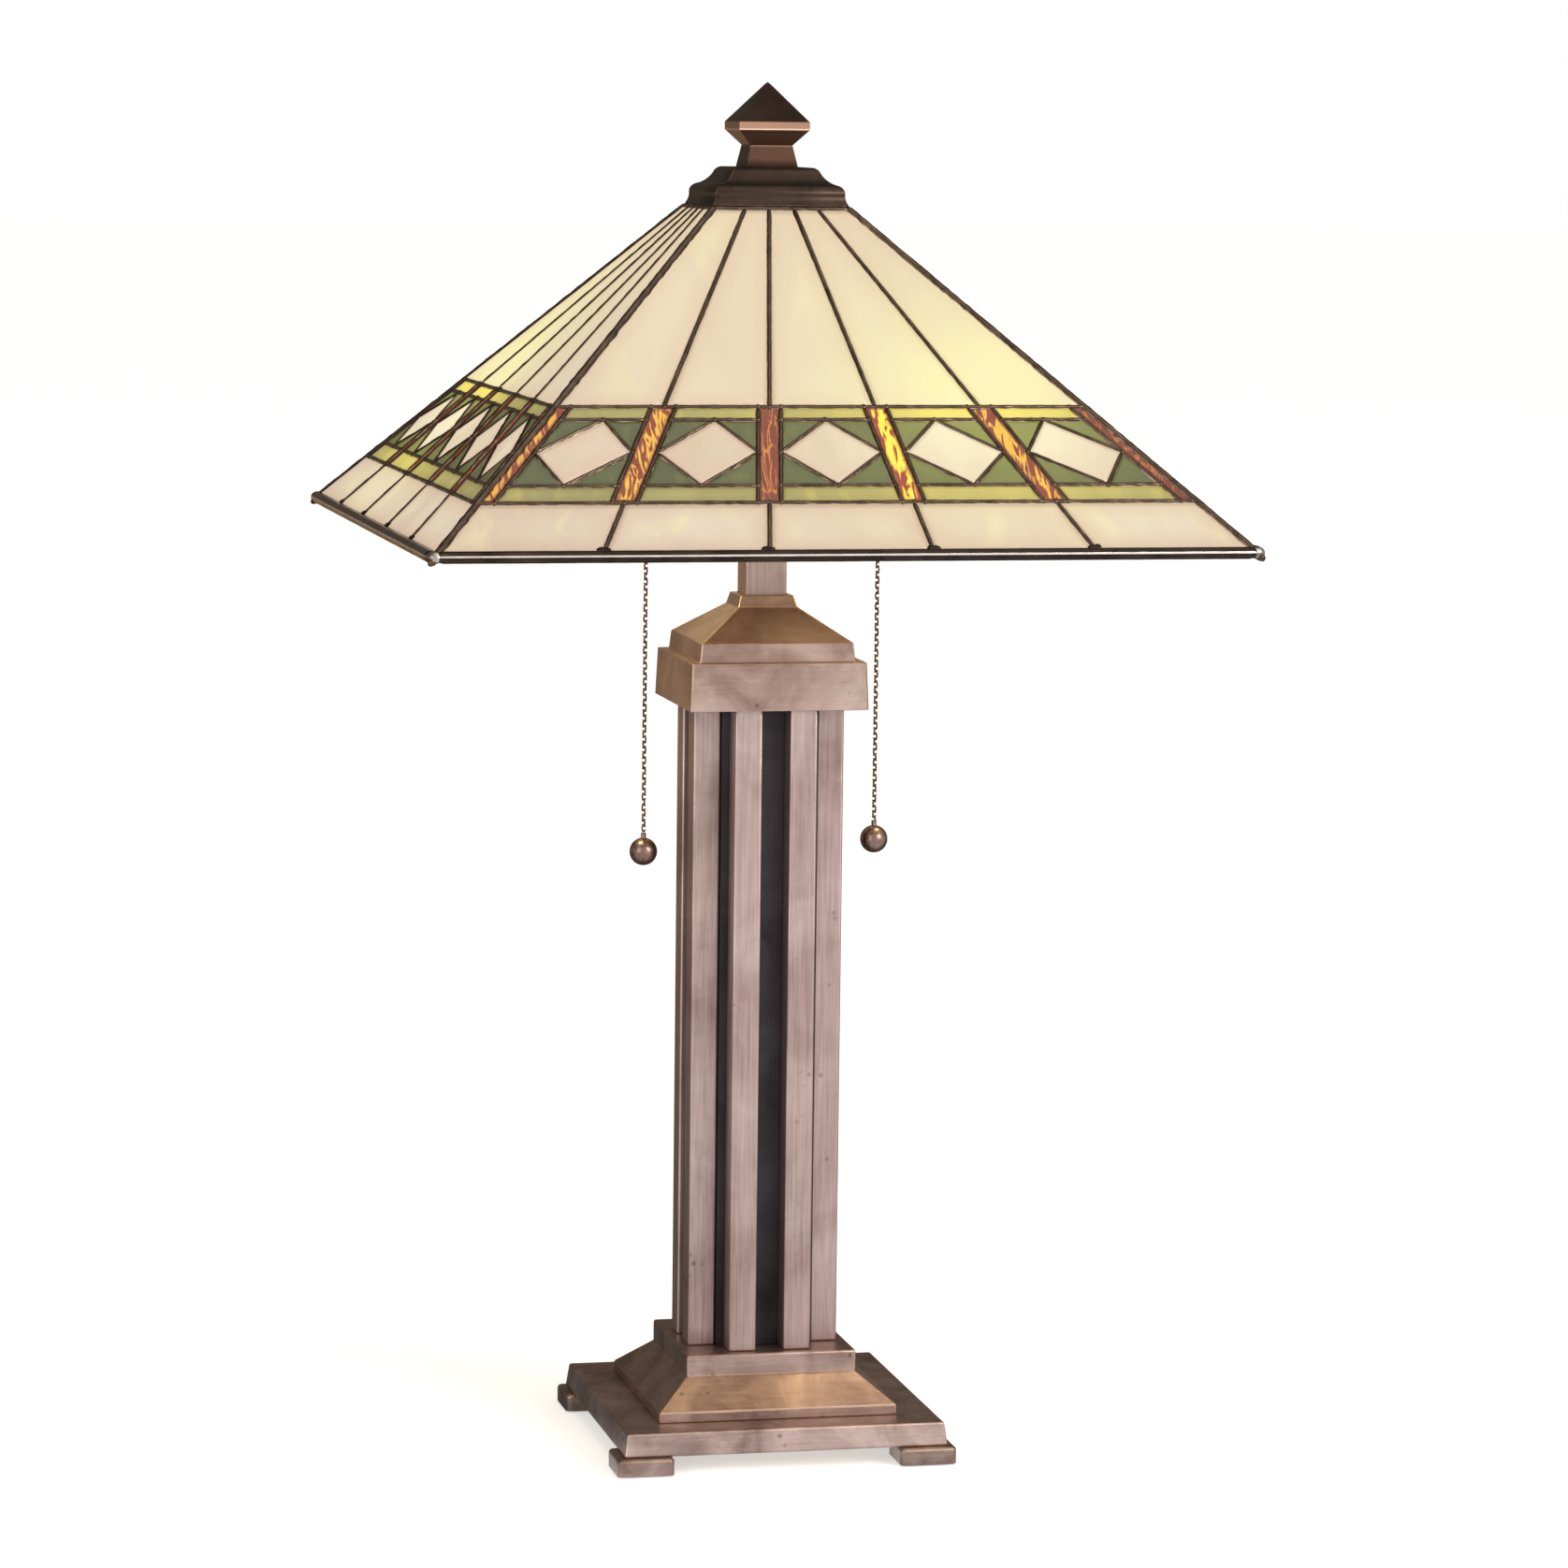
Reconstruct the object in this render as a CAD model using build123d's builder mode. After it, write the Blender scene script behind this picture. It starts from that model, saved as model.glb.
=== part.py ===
from build123d import *
import os
from math import cos, hypot, radians, sin

os.makedirs("parts", exist_ok=True)

# Stained glass table lamp. Millimetres, +Z up, front faces -Y.
# The origin is the middle of the footprint, on the surface that the lamp stands on.

# ---------------------------------------------------------------- driving dimensions
# Sections of the square castings are (half width, height) pairs.
PAD_HEIGHT = 0.8
PAD_SIZE = 20.0
PAD_ROUNDING = 2.0
FOOT_SIZE = 26.0
FOOT_REACH = 78.2
FOOT_TOP = 8.5
FOOT_ROUNDING = 2.6
FOOT_TOP_ROUNDING = 1.6
FOOT_CENTRE = FOOT_REACH - FOOT_SIZE / 2

PLATE_HALF_BOTTOM = 74.7
PLATE_HALF_TOP = 73.2
PLATE_TOP = 19.2
PLATE_WEB_BOTTOM = 15.2
PLATE_CAVITY_HALF = 70.5
PLATE_BOSS_INNER = 50.0
EDGE_ROUNDING = 1.0

PLINTH_LIP_HALF = 55.2
PLINTH_LIP_TOP = 24.0
PLINTH_BLOCK_HALF = 39.5
PLINTH_BLOCK_BOTTOM = 36.9
PLINTH_TOP = 46.5
CASTING_WALL = 3.5

CORE_HALF = 22.225
CORE_WALL = 1.6
BAR_SIZE = 12.7
BAR_OFFSET = 12.7
BAR_WALL = 1.2
BAR_ROUNDING = 1.1
BAR_END_ROUNDING = 0.9
COLUMN_TOP = 356.0

CAPITAL_BOTTOM = 341.0
CAPITAL_HALF_BOTTOM = 41.2
CAPITAL_BAND_TOP = 362.7
CAPITAL_BAND_HALF = 40.3
CAPITAL_STEP_HALF = 36.0
CAPITAL_STEP_TOP = 371.0
CAPITAL_SLOPE_HALF = 35.1
COLLAR_BOTTOM = 385.5
COLLAR_HALF_BOTTOM = 13.9
COLLAR_HALF_TOP = 12.4
COLLAR_TOP = 390.7
COLLAR_RECESS = 3.7

NECK_HALF = 9.525
NECK_WALL = 1.6
PIPE_RADIUS = 4.8
PIPE_BORE_RADIUS = 3.25
PIPE_HOLE_RADIUS = 5.1

CLUSTER_RADIUS = 24.0
CLUSTER_BOTTOM = 424.0
CLUSTER_TOP = 452.0
CLUSTER_WALL = 1.2
SOCKET_Z = 438.0
SOCKET_RADIUS = 17.0
SOCKET_MOUTH_X = 78.0
CHAIN_X = 54.0
SPOUT_MOUTH_Z = 412.0
SPOUT_RADIUS = 3.15
BULB_RADIUS = 26.0
BULB_NECK_ANGLE = 40.0
BULB_CENTRE_X = 108.0
BULB_TIP_X = BULB_CENTRE_X + BULB_RADIUS
BULB_BASE_RADIUS = 13.0

CHAIN_RADIUS = 1.1
BALL_RADIUS = 6.35
BALL_CENTRE_Z = {"left": 273.0, "right": 277.0}
SWING_Z = 411.0
EYE_RADIUS = 1.2
EYE_HEIGHT = 2.4

# The shade is a square pyramid cut off at the top. Its outer face, where the came's beads
# reach, runs from SHADE_HALF_BOTTOM at SHADE_BOTTOM to SHADE_HALF_TOP at SHADE_TOP.
SHADE_BOTTOM = 420.5
SHADE_TOP = 566.9
SHADE_HALF_BOTTOM = 183.4
SHADE_HALF_TOP = 31.5
CAME_THICKNESS = 3.2
GLASS_THICKNESS = 2.4
GLASS_RECESS = (CAME_THICKNESS - GLASS_THICKNESS) / 2
LEAD_WIDTH = 1.9
HIP_LEAD = 1.6
AMBER_WIDTH = 8.0
HIP_AMBER_WIDTH = 4.1
RIM_RADIUS = 2.8
RIM_CENTRE_HALF = 180.2
RIM_CENTRE_Z = 422.7
# Shares of the slant length at which the horizontal lead lines run.
BAND_BOTTOM, STRIP_TOP, DIAMOND_TOP, BAND_TOP = 0.162, 0.208, 0.389, 0.425
# Shares of the half width at which the upright lead lines run, at the bottom and at the top.
LEAD_LINES = ((-1.0, -1.0), (-0.6, -0.51), (-0.2, -0.176), (0.2, 0.176), (0.6, 0.51), (1.0, 1.0))

CAP_BAND_HALF = 29.8
CAP_SHOULDER_Z = 576.2
CAP_SHOULDER_HALF = 26.6
CAP_SHOULDER_ROUNDING = 3.6
CAP_TOP = 583.9
CAP_TOP_HALF = 16.8
CAP_HOLE_RADIUS = 5.1
CAP_WALL = 2.0

FINIAL_BOTTOM = CAP_TOP + 0.1
FINIAL_FOOT_HALF = 11.8
FINIAL_WAIST_HALF = 9.7
FINIAL_WAIST_Z = 593.7
FINIAL_WIDEST_HALF = 16.2
FINIAL_BAND_BOTTOM = 600.6
FINIAL_BAND_TOP = 604.1
FINIAL_TIP = 622.0
FINIAL_TIP_ROUNDING = 1.2
UPPER_ROD_TOP = 592.5
THREAD_CLEARANCE = 0.05

SIDES = {"left": -1, "right": 1}
FACES = {"front": -90, "right": 0, "back": 90, "left": 180}


# ---------------------------------------------------------------- shared shapes
def square_turned(half_outline):
    """A body with the same mitred outline on all four sides.
    half_outline is a list of (half width, height) points, going up."""
    whole = half_outline + [(-x, z) for x, z in reversed(half_outline) if x > 0]
    reach = max(x for x, z in half_outline) + 5
    with BuildPart() as body:
        with BuildSketch(Plane.XZ):
            Polygon(*whole, align=None)
        extrude(amount=reach, both=True)
        with BuildSketch(Plane.YZ):
            Polygon(*whole, align=None)
        extrude(amount=reach, both=True, mode=Mode.INTERSECT)
    return body.part


def turned_socket(profile, side):
    """A body turned about a socket's axis, from (distance from the lamp's axis, radius) points."""
    with BuildPart() as body:
        with BuildSketch(Plane.XZ):
            Polygon(*[(side * x, SOCKET_Z + radius) for x, radius in profile], align=None)
        revolve(axis=Axis((0, 0, SOCKET_Z), (1, 0, 0)))
    return body.part


def upright_cylinder(x, y, radius, low, high):
    """A plain round bar along Z."""
    with BuildPart() as body:
        with BuildSketch(Plane((x, y, low))):
            Circle(radius)
        extrude(amount=high - low)
    return body.part


def hex_nut(across_flats, low, high):
    """A nut on the lamp's axis, bored for the threaded pipe."""
    with BuildPart() as body:
        with BuildSketch(Plane.XY.offset(low)):
            RegularPolygon(across_flats / 2, 6, major_radius=False)
            Circle(PIPE_RADIUS + THREAD_CLEARANCE, mode=Mode.SUBTRACT)
        extrude(amount=high - low)
    return body.part


# ---------------------------------------------------------------- base
corners = GridLocations(2 * FOOT_CENTRE, 2 * FOOT_CENTRE, 2, 2)
corner_points = [(location.position.X, location.position.Y) for location in corners]

with BuildPart() as felt_pads:
    with BuildSketch():
        with Locations(*corner_points):
            RectangleRounded(PAD_SIZE, PAD_SIZE, PAD_ROUNDING)
    extrude(amount=PAD_HEIGHT)
felt_pads.part.label = "felt_pads"
export_step(felt_pads.part, "parts/felt_pads.step")

# Pillow-shaped blocks, with a countersunk hole for the screw.
SCREW_RADIUS = 2.0
SCREW_HEAD_RADIUS = 3.8
SCREW_HEAD_HEIGHT = 2.2
SCREW_TOP = 14.0
SCREW_CLEARANCE = 0.3
with BuildPart() as feet:
    with BuildSketch(Plane.XY.offset(PAD_HEIGHT)):
        with Locations(*corner_points):
            Rectangle(FOOT_SIZE, FOOT_SIZE)
    extrude(amount=FOOT_TOP - PAD_HEIGHT)
    fillet(feet.edges().filter_by(Axis.Z), FOOT_ROUNDING)
    fillet(feet.faces().sort_by(Axis.Z)[-4:].edges(), FOOT_TOP_ROUNDING)
    hole_radius = SCREW_RADIUS + SCREW_CLEARANCE
    seat_radius = SCREW_HEAD_RADIUS + SCREW_CLEARANCE
    seat_top = PAD_HEIGHT + SCREW_HEAD_HEIGHT
    for x, y in corner_points:
        add(upright_cylinder(x, y, hole_radius, PAD_HEIGHT, FOOT_TOP), mode=Mode.SUBTRACT)
        add(upright_cylinder(x, y, seat_radius, PAD_HEIGHT, seat_top), mode=Mode.SUBTRACT)
feet.part.label = "feet"
export_step(feet.part, "parts/feet.step")

with BuildPart() as foot_screws:
    for x, y in corner_points:
        add(upright_cylinder(x, y, SCREW_HEAD_RADIUS, PAD_HEIGHT + 0.1, PAD_HEIGHT + SCREW_HEAD_HEIGHT))
        add(upright_cylinder(x, y, SCREW_RADIUS, PAD_HEIGHT + 1, SCREW_TOP))
foot_screws.part.label = "foot_screws"
export_step(foot_screws.part, "parts/foot_screws.step")

# A cast plate, hollow below, with a solid boss over each foot and flared, rounded edges.
BUSHING_Z = 13.6
BUSHING_RADIUS = 3.75
cavity_span = 2 * PLATE_CAVITY_HALF
boss_gap = 2 * PLATE_BOSS_INNER
with BuildPart() as base_plate:
    add(square_turned([(PLATE_HALF_BOTTOM, FOOT_TOP), (PLATE_HALF_TOP, PLATE_TOP)]))
    fillet(base_plate.edges(), EDGE_ROUNDING)
    with BuildSketch(Plane.XY.offset(FOOT_TOP)):
        Rectangle(cavity_span, boss_gap)
        Rectangle(boss_gap, cavity_span)
    extrude(amount=PLATE_WEB_BOTTOM - FOOT_TOP, mode=Mode.SUBTRACT)
    add(upright_cylinder(0, 0, PIPE_HOLE_RADIUS, 0, PLATE_TOP + 1), mode=Mode.SUBTRACT)
    for x, y in corner_points:
        add(upright_cylinder(x, y, SCREW_RADIUS + THREAD_CLEARANCE, 0, SCREW_TOP + 0.5), mode=Mode.SUBTRACT)
    with BuildSketch(Plane((0, PLATE_CAVITY_HALF - 5, BUSHING_Z), x_dir=(1, 0, 0), z_dir=(0, 1, 0))):
        Circle(BUSHING_RADIUS + THREAD_CLEARANCE)
    extrude(amount=20, mode=Mode.SUBTRACT)
base_plate.part.label = "base_plate"
export_step(base_plate.part, "parts/base_plate.step")

# The mains lead's inlet, in the back wall: a snap-in sleeve with a flange outside.
CORD_BORE_RADIUS = 3.0
FLANGE_RADIUS = 4.7
FLANGE_BACK_Y = 74.8
FLANGE_THICKNESS = 1.5
SLEEVE_START_Y = 69.0
with BuildPart() as cord_bushing:
    with BuildSketch(Plane((0, SLEEVE_START_Y, BUSHING_Z), x_dir=(1, 0, 0), z_dir=(0, 1, 0))):
        Circle(BUSHING_RADIUS)
    extrude(amount=FLANGE_BACK_Y - SLEEVE_START_Y)
    with BuildSketch(Plane((0, FLANGE_BACK_Y, BUSHING_Z), x_dir=(1, 0, 0), z_dir=(0, 1, 0))):
        Circle(FLANGE_RADIUS)
    extrude(amount=FLANGE_THICKNESS)
    with BuildSketch(Plane((0, SLEEVE_START_Y, BUSHING_Z), x_dir=(1, 0, 0), z_dir=(0, 1, 0))):
        Circle(CORD_BORE_RADIUS)
    extrude(amount=FLANGE_BACK_Y + FLANGE_THICKNESS - SLEEVE_START_Y, mode=Mode.SUBTRACT)
cord_bushing.part.label = "cord_bushing"
export_step(cord_bushing.part, "parts/cord_bushing.step")

# An iron slab in the plate's hollow, with a well for the nut and a channel for the lead.
COVER_BOTTOM = 8.7
COVER_TOP = 9.7
WEIGHT_HALF = 48.0
WEIGHT_ROUNDING = 4.0
NUT_WELL_RADIUS = 17.0
CHANNEL_WIDTH = 9.0
with BuildPart() as base_weight:
    with BuildSketch(Plane.XY.offset(COVER_TOP)):
        RectangleRounded(2 * WEIGHT_HALF, 2 * WEIGHT_HALF, WEIGHT_ROUNDING)
        Circle(NUT_WELL_RADIUS, mode=Mode.SUBTRACT)
        with Locations((0, WEIGHT_HALF)):
            Rectangle(CHANNEL_WIDTH, 2 * WEIGHT_HALF, mode=Mode.SUBTRACT)
    extrude(amount=PLATE_WEB_BOTTOM - COVER_TOP)
base_weight.part.label = "base_weight"
export_step(base_weight.part, "parts/base_weight.step")

COVER_GAP = 0.5
with BuildPart() as bottom_cover:
    with BuildSketch(Plane.XY.offset(COVER_BOTTOM)):
        Rectangle(cavity_span - 2 * COVER_GAP, boss_gap - 2 * COVER_GAP)
        Rectangle(boss_gap - 2 * COVER_GAP, cavity_span - 2 * COVER_GAP)
    extrude(amount=COVER_TOP - COVER_BOTTOM)
bottom_cover.part.label = "bottom_cover"
export_step(bottom_cover.part, "parts/bottom_cover.step")

# The column's foot: a lip, a sloped apron and a block, cast in one as a shell.
APRON_DROP = 2.0
with BuildPart() as plinth:
    outer = [
        (PLINTH_LIP_HALF, PLATE_TOP),
        (PLINTH_LIP_HALF, PLINTH_LIP_TOP),
        (PLINTH_BLOCK_HALF, PLINTH_BLOCK_BOTTOM),
        (PLINTH_BLOCK_HALF, PLINTH_TOP),
    ]
    inner = [
        (PLINTH_LIP_HALF - CASTING_WALL, PLATE_TOP),
        (PLINTH_LIP_HALF - CASTING_WALL, PLINTH_LIP_TOP - APRON_DROP),
        (PLINTH_BLOCK_HALF - CASTING_WALL, PLINTH_BLOCK_BOTTOM - APRON_DROP),
        (PLINTH_BLOCK_HALF - CASTING_WALL, PLINTH_TOP - CASTING_WALL),
    ]
    add(square_turned(outer))
    fillet(plinth.faces().sort_by(Axis.Z)[-1].edges(), EDGE_ROUNDING)
    add(square_turned(inner), mode=Mode.SUBTRACT)
    add(upright_cylinder(0, 0, PIPE_HOLE_RADIUS, PLATE_TOP, PLINTH_TOP + 1), mode=Mode.SUBTRACT)
plinth.part.label = "plinth"
export_step(plinth.part, "parts/plinth.step")

# ---------------------------------------------------------------- column
with BuildPart() as column_core:
    with BuildSketch(Plane.XY.offset(PLINTH_TOP)):
        Rectangle(2 * CORE_HALF, 2 * CORE_HALF)
        Rectangle(2 * (CORE_HALF - CORE_WALL), 2 * (CORE_HALF - CORE_WALL), mode=Mode.SUBTRACT)
    extrude(amount=COLUMN_TOP - PLINTH_TOP)
column_core.part.label = "column_core"
export_step(column_core.part, "parts/column_core.step")

# Two square tubes, closed at both ends, stand on each side of the core.
bar_distance = CORE_HALF + BAR_SIZE / 2
for face, angle in FACES.items():
    side_plane = Plane.XY.rotated((0, 0, angle))
    with BuildPart() as column_bars:
        with BuildSketch(side_plane.offset(PLINTH_TOP)):
            with Locations((bar_distance, -BAR_OFFSET), (bar_distance, BAR_OFFSET)):
                Rectangle(BAR_SIZE, BAR_SIZE)
        extrude(amount=COLUMN_TOP - PLINTH_TOP)
        fillet(column_bars.edges().filter_by(Axis.Z), BAR_ROUNDING)
        fillet(column_bars.faces().sort_by(Axis.Z)[:2].edges(), BAR_END_ROUNDING)
        hollow = BAR_SIZE - 2 * BAR_WALL
        with BuildSketch(side_plane.offset(PLINTH_TOP + BAR_WALL)):
            with Locations((bar_distance, -BAR_OFFSET), (bar_distance, BAR_OFFSET)):
                Rectangle(hollow, hollow)
        extrude(amount=COLUMN_TOP - PLINTH_TOP - 2 * BAR_WALL, mode=Mode.SUBTRACT)
    column_bars.part.label = f"column_bars_{face}"
    export_step(column_bars.part, f"parts/column_bars_{face}.step")

# The capital is a cast shell. Its skirt hangs round the column's top, which meets a ledge inside.
SKIRT_INNER_HALF = 37.8
LEDGE_HALF = 31.5
ROOF_HALF = 14.0
ROOF_DROP = 6.0
STEP_DROP = 4.0
with BuildPart() as capital:
    outer = [
        (CAPITAL_HALF_BOTTOM, CAPITAL_BOTTOM),
        (CAPITAL_BAND_HALF, CAPITAL_BAND_TOP),
        (CAPITAL_STEP_HALF, CAPITAL_BAND_TOP),
        (CAPITAL_SLOPE_HALF, CAPITAL_STEP_TOP),
        (COLLAR_HALF_BOTTOM, COLLAR_BOTTOM),
        (COLLAR_HALF_TOP, COLLAR_TOP),
    ]
    add(square_turned(outer))
    skirt_hollow = [(SKIRT_INNER_HALF, CAPITAL_BOTTOM), (SKIRT_INNER_HALF, COLUMN_TOP)]
    add(square_turned(skirt_hollow), mode=Mode.SUBTRACT)
    upper_hollow = [
        (LEDGE_HALF, COLUMN_TOP),
        (LEDGE_HALF, CAPITAL_STEP_TOP - STEP_DROP),
        (ROOF_HALF, COLLAR_BOTTOM - ROOF_DROP),
    ]
    add(square_turned(upper_hollow), mode=Mode.SUBTRACT)
    add(upright_cylinder(0, 0, PIPE_HOLE_RADIUS, COLUMN_TOP, COLLAR_TOP + 1), mode=Mode.SUBTRACT)
    seat_half = NECK_HALF + THREAD_CLEARANCE
    neck_seat = [(seat_half, COLLAR_TOP - COLLAR_RECESS), (seat_half, COLLAR_TOP)]
    add(square_turned(neck_seat), mode=Mode.SUBTRACT)
capital.part.label = "capital"
export_step(capital.part, "parts/capital.step")

with BuildPart() as neck_tube:
    with BuildSketch(Plane.XY.offset(COLLAR_TOP - COLLAR_RECESS)):
        Rectangle(2 * NECK_HALF, 2 * NECK_HALF)
        Rectangle(2 * (NECK_HALF - NECK_WALL), 2 * (NECK_HALF - NECK_WALL), mode=Mode.SUBTRACT)
    extrude(amount=CLUSTER_BOTTOM - COLLAR_TOP + COLLAR_RECESS)
    fillet(neck_tube.edges().filter_by(Axis.Z).sort_by(lambda e: -abs(e.center().X))[:4], EDGE_ROUNDING)
neck_tube.part.label = "neck_tube"
export_step(neck_tube.part, "parts/neck_tube.step")

# ---------------------------------------------------------------- pipe that clamps it together
WASHER_RADIUS = 14.0
WASHER_THICKNESS = 1.6
NUT_ACROSS_FLATS = 14.3
NUT_HEIGHT = 3.6
PIPE_BOTTOM = COVER_TOP + 0.1
PIPE_TOP = 432.0
with BuildPart() as riser_pipe:
    add(upright_cylinder(0, 0, PIPE_RADIUS, PIPE_BOTTOM, PIPE_TOP))
    add(upright_cylinder(0, 0, PIPE_BORE_RADIUS, PIPE_BOTTOM, PIPE_TOP), mode=Mode.SUBTRACT)
riser_pipe.part.label = "riser_pipe"
export_step(riser_pipe.part, "parts/riser_pipe.step")

washer_bottom = PLATE_WEB_BOTTOM - WASHER_THICKNESS
with BuildPart() as base_washer:
    add(upright_cylinder(0, 0, WASHER_RADIUS, washer_bottom, PLATE_WEB_BOTTOM))
    add(upright_cylinder(0, 0, PIPE_HOLE_RADIUS, washer_bottom, PLATE_WEB_BOTTOM), mode=Mode.SUBTRACT)
base_washer.part.label = "base_washer"
export_step(base_washer.part, "parts/base_washer.step")

with BuildPart() as base_nut:
    add(hex_nut(NUT_ACROSS_FLATS, washer_bottom - NUT_HEIGHT, washer_bottom))
base_nut.part.label = "base_nut"
export_step(base_nut.part, "parts/base_nut.step")

# ---------------------------------------------------------------- cluster and sockets
# The cluster body is a spun drum with one side hole for each socket's nipple.
NIPPLE_START_X = 20.0
NIPPLE_END_X = 33.0
DRUM_ROUNDING = 3.0
with BuildPart() as drum_hollow:
    add(
        upright_cylinder(
            0, 0, CLUSTER_RADIUS - CLUSTER_WALL, CLUSTER_BOTTOM + CLUSTER_WALL, CLUSTER_TOP - CLUSTER_WALL
        )
    )
    fillet(drum_hollow.edges().filter_by(GeomType.CIRCLE), DRUM_ROUNDING - CLUSTER_WALL)
with BuildPart() as cluster_body:
    add(upright_cylinder(0, 0, CLUSTER_RADIUS, CLUSTER_BOTTOM, CLUSTER_TOP))
    fillet(cluster_body.edges().filter_by(GeomType.CIRCLE), DRUM_ROUNDING)
    add(drum_hollow.part, mode=Mode.SUBTRACT)
    pipe_bore = upright_cylinder(0, 0, PIPE_RADIUS + THREAD_CLEARANCE, CLUSTER_BOTTOM, CLUSTER_TOP)
    add(pipe_bore, mode=Mode.SUBTRACT)
    with BuildSketch(Plane.YZ):
        with Locations((0, SOCKET_Z)):
            Circle(PIPE_RADIUS + THREAD_CLEARANCE)
    extrude(amount=CLUSTER_RADIUS + 1, both=True, mode=Mode.SUBTRACT)
cluster_body.part.label = "cluster_body"
export_step(cluster_body.part, "parts/cluster_body.step")

inside_top = CLUSTER_TOP - CLUSTER_WALL
inside_bottom = CLUSTER_BOTTOM + CLUSTER_WALL
with BuildPart() as cluster_nuts:
    add(hex_nut(NUT_ACROSS_FLATS, inside_bottom, inside_bottom + NUT_HEIGHT))
    add(hex_nut(NUT_ACROSS_FLATS, inside_top - NUT_HEIGHT, inside_top))
    add(hex_nut(NUT_ACROSS_FLATS, CLUSTER_TOP, CLUSTER_TOP + NUT_HEIGHT))
cluster_nuts.part.label = "cluster_nuts"
export_step(cluster_nuts.part, "parts/cluster_nuts.step")

with BuildPart() as socket_nipples:
    for side in SIDES.values():
        add(
            turned_socket(
                [
                    (NIPPLE_START_X, PIPE_BORE_RADIUS),
                    (NIPPLE_END_X, PIPE_BORE_RADIUS),
                    (NIPPLE_END_X, PIPE_RADIUS),
                    (NIPPLE_START_X, PIPE_RADIUS),
                ],
                side,
            )
        )
socket_nipples.part.label = "socket_nipples"
export_step(socket_nipples.part, "parts/socket_nipples.step")

# Each socket's cap is a stepped cup that the nipple holds and the shell snaps into.
CAP_START_X = 27.0
CAP_RIM_X = 42.0
SHELL_START_X = 38.0
SHEET = 0.7
with BuildPart() as socket_caps:
    for side in SIDES.values():
        nipple_hole = PIPE_RADIUS + THREAD_CLEARANCE
        outer_radius = SOCKET_RADIUS + THREAD_CLEARANCE + SHEET
        add(
            turned_socket(
                [
                    (CAP_START_X, nipple_hole),
                    (CAP_START_X, 9.0),
                    (CAP_START_X + 3, 10.5),
                    (CAP_START_X + 7, outer_radius),
                    (CAP_RIM_X, outer_radius),
                    (CAP_RIM_X, outer_radius - SHEET),
                    (CAP_START_X + 7.5, outer_radius - SHEET),
                    (CAP_START_X + 4, 9.8),
                    (CAP_START_X + 2, 8.6),
                    (CAP_START_X + 2, nipple_hole),
                ],
                side,
            )
        )
socket_caps.part.label = "socket_caps"
export_step(socket_caps.part, "parts/socket_caps.step")


def spout_hole(side, radius, top):
    """The upright bore that the chain spout and the switch stem run in."""
    return upright_cylinder(side * CHAIN_X, 0, radius, SOCKET_Z - 2 * SOCKET_RADIUS, top)


for name, side in SIDES.items():
    with BuildPart() as socket_shell:
        add(
            turned_socket(
                [
                    (SHELL_START_X, SOCKET_RADIUS),
                    (SOCKET_MOUTH_X - 3, SOCKET_RADIUS),
                    (SOCKET_MOUTH_X - 2, SOCKET_RADIUS + 1),
                    (SOCKET_MOUTH_X, SOCKET_RADIUS + 1),
                    (SOCKET_MOUTH_X, SOCKET_RADIUS - SHEET),
                    (SHELL_START_X, SOCKET_RADIUS - SHEET),
                ],
                side,
            )
        )
        add(spout_hole(side, SPOUT_RADIUS + THREAD_CLEARANCE, SOCKET_Z), mode=Mode.SUBTRACT)
    socket_shell.part.label = f"socket_shell_{name}"
    export_step(socket_shell.part, f"parts/socket_shell_{name}.step")

LINER_OUTER = SOCKET_RADIUS - SHEET - THREAD_CLEARANCE
LINER_INNER = LINER_OUTER - 0.8
with BuildPart() as socket_liners:
    for side in SIDES.values():
        add(
            turned_socket(
                [
                    (SHELL_START_X, LINER_OUTER),
                    (SOCKET_MOUTH_X - 0.5, LINER_OUTER),
                    (SOCKET_MOUTH_X - 0.5, LINER_INNER),
                    (SHELL_START_X, LINER_INNER),
                ],
                side,
            )
        )
        add(spout_hole(side, SPOUT_RADIUS + THREAD_CLEARANCE, SOCKET_Z), mode=Mode.SUBTRACT)
socket_liners.part.label = "socket_liners"
export_step(socket_liners.part, "parts/socket_liners.step")

# A moulded block in each socket holds the pull switch, in the bore above the spout.
BLOCK_START_X = 38.5
BLOCK_END_X = 57.5
BLOCK_RADIUS = LINER_INNER - THREAD_CLEARANCE
STEM_TOP_Z = 430.0
with BuildPart() as socket_interiors:
    for side in SIDES.values():
        block = [
            (BLOCK_START_X, 0),
            (BLOCK_END_X, 0),
            (BLOCK_END_X, BLOCK_RADIUS),
            (BLOCK_START_X, BLOCK_RADIUS),
        ]
        add(turned_socket(block, side))
        add(spout_hole(side, SPOUT_RADIUS + THREAD_CLEARANCE, STEM_TOP_Z + 1), mode=Mode.SUBTRACT)
socket_interiors.part.label = "socket_interiors"
export_step(socket_interiors.part, "parts/socket_interiors.step")

SCREW_SHELL_INNER = BULB_BASE_RADIUS + 0.3
with BuildPart() as screw_shells:
    for side in SIDES.values():
        add(
            turned_socket(
                [
                    (BLOCK_END_X, SCREW_SHELL_INNER),
                    (SOCKET_MOUTH_X - 2, SCREW_SHELL_INNER),
                    (SOCKET_MOUTH_X - 2, SCREW_SHELL_INNER + 0.5),
                    (BLOCK_END_X, SCREW_SHELL_INNER + 0.5),
                ],
                side,
            )
        )
screw_shells.part.label = "screw_shells"
export_step(screw_shells.part, "parts/screw_shells.step")

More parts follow.
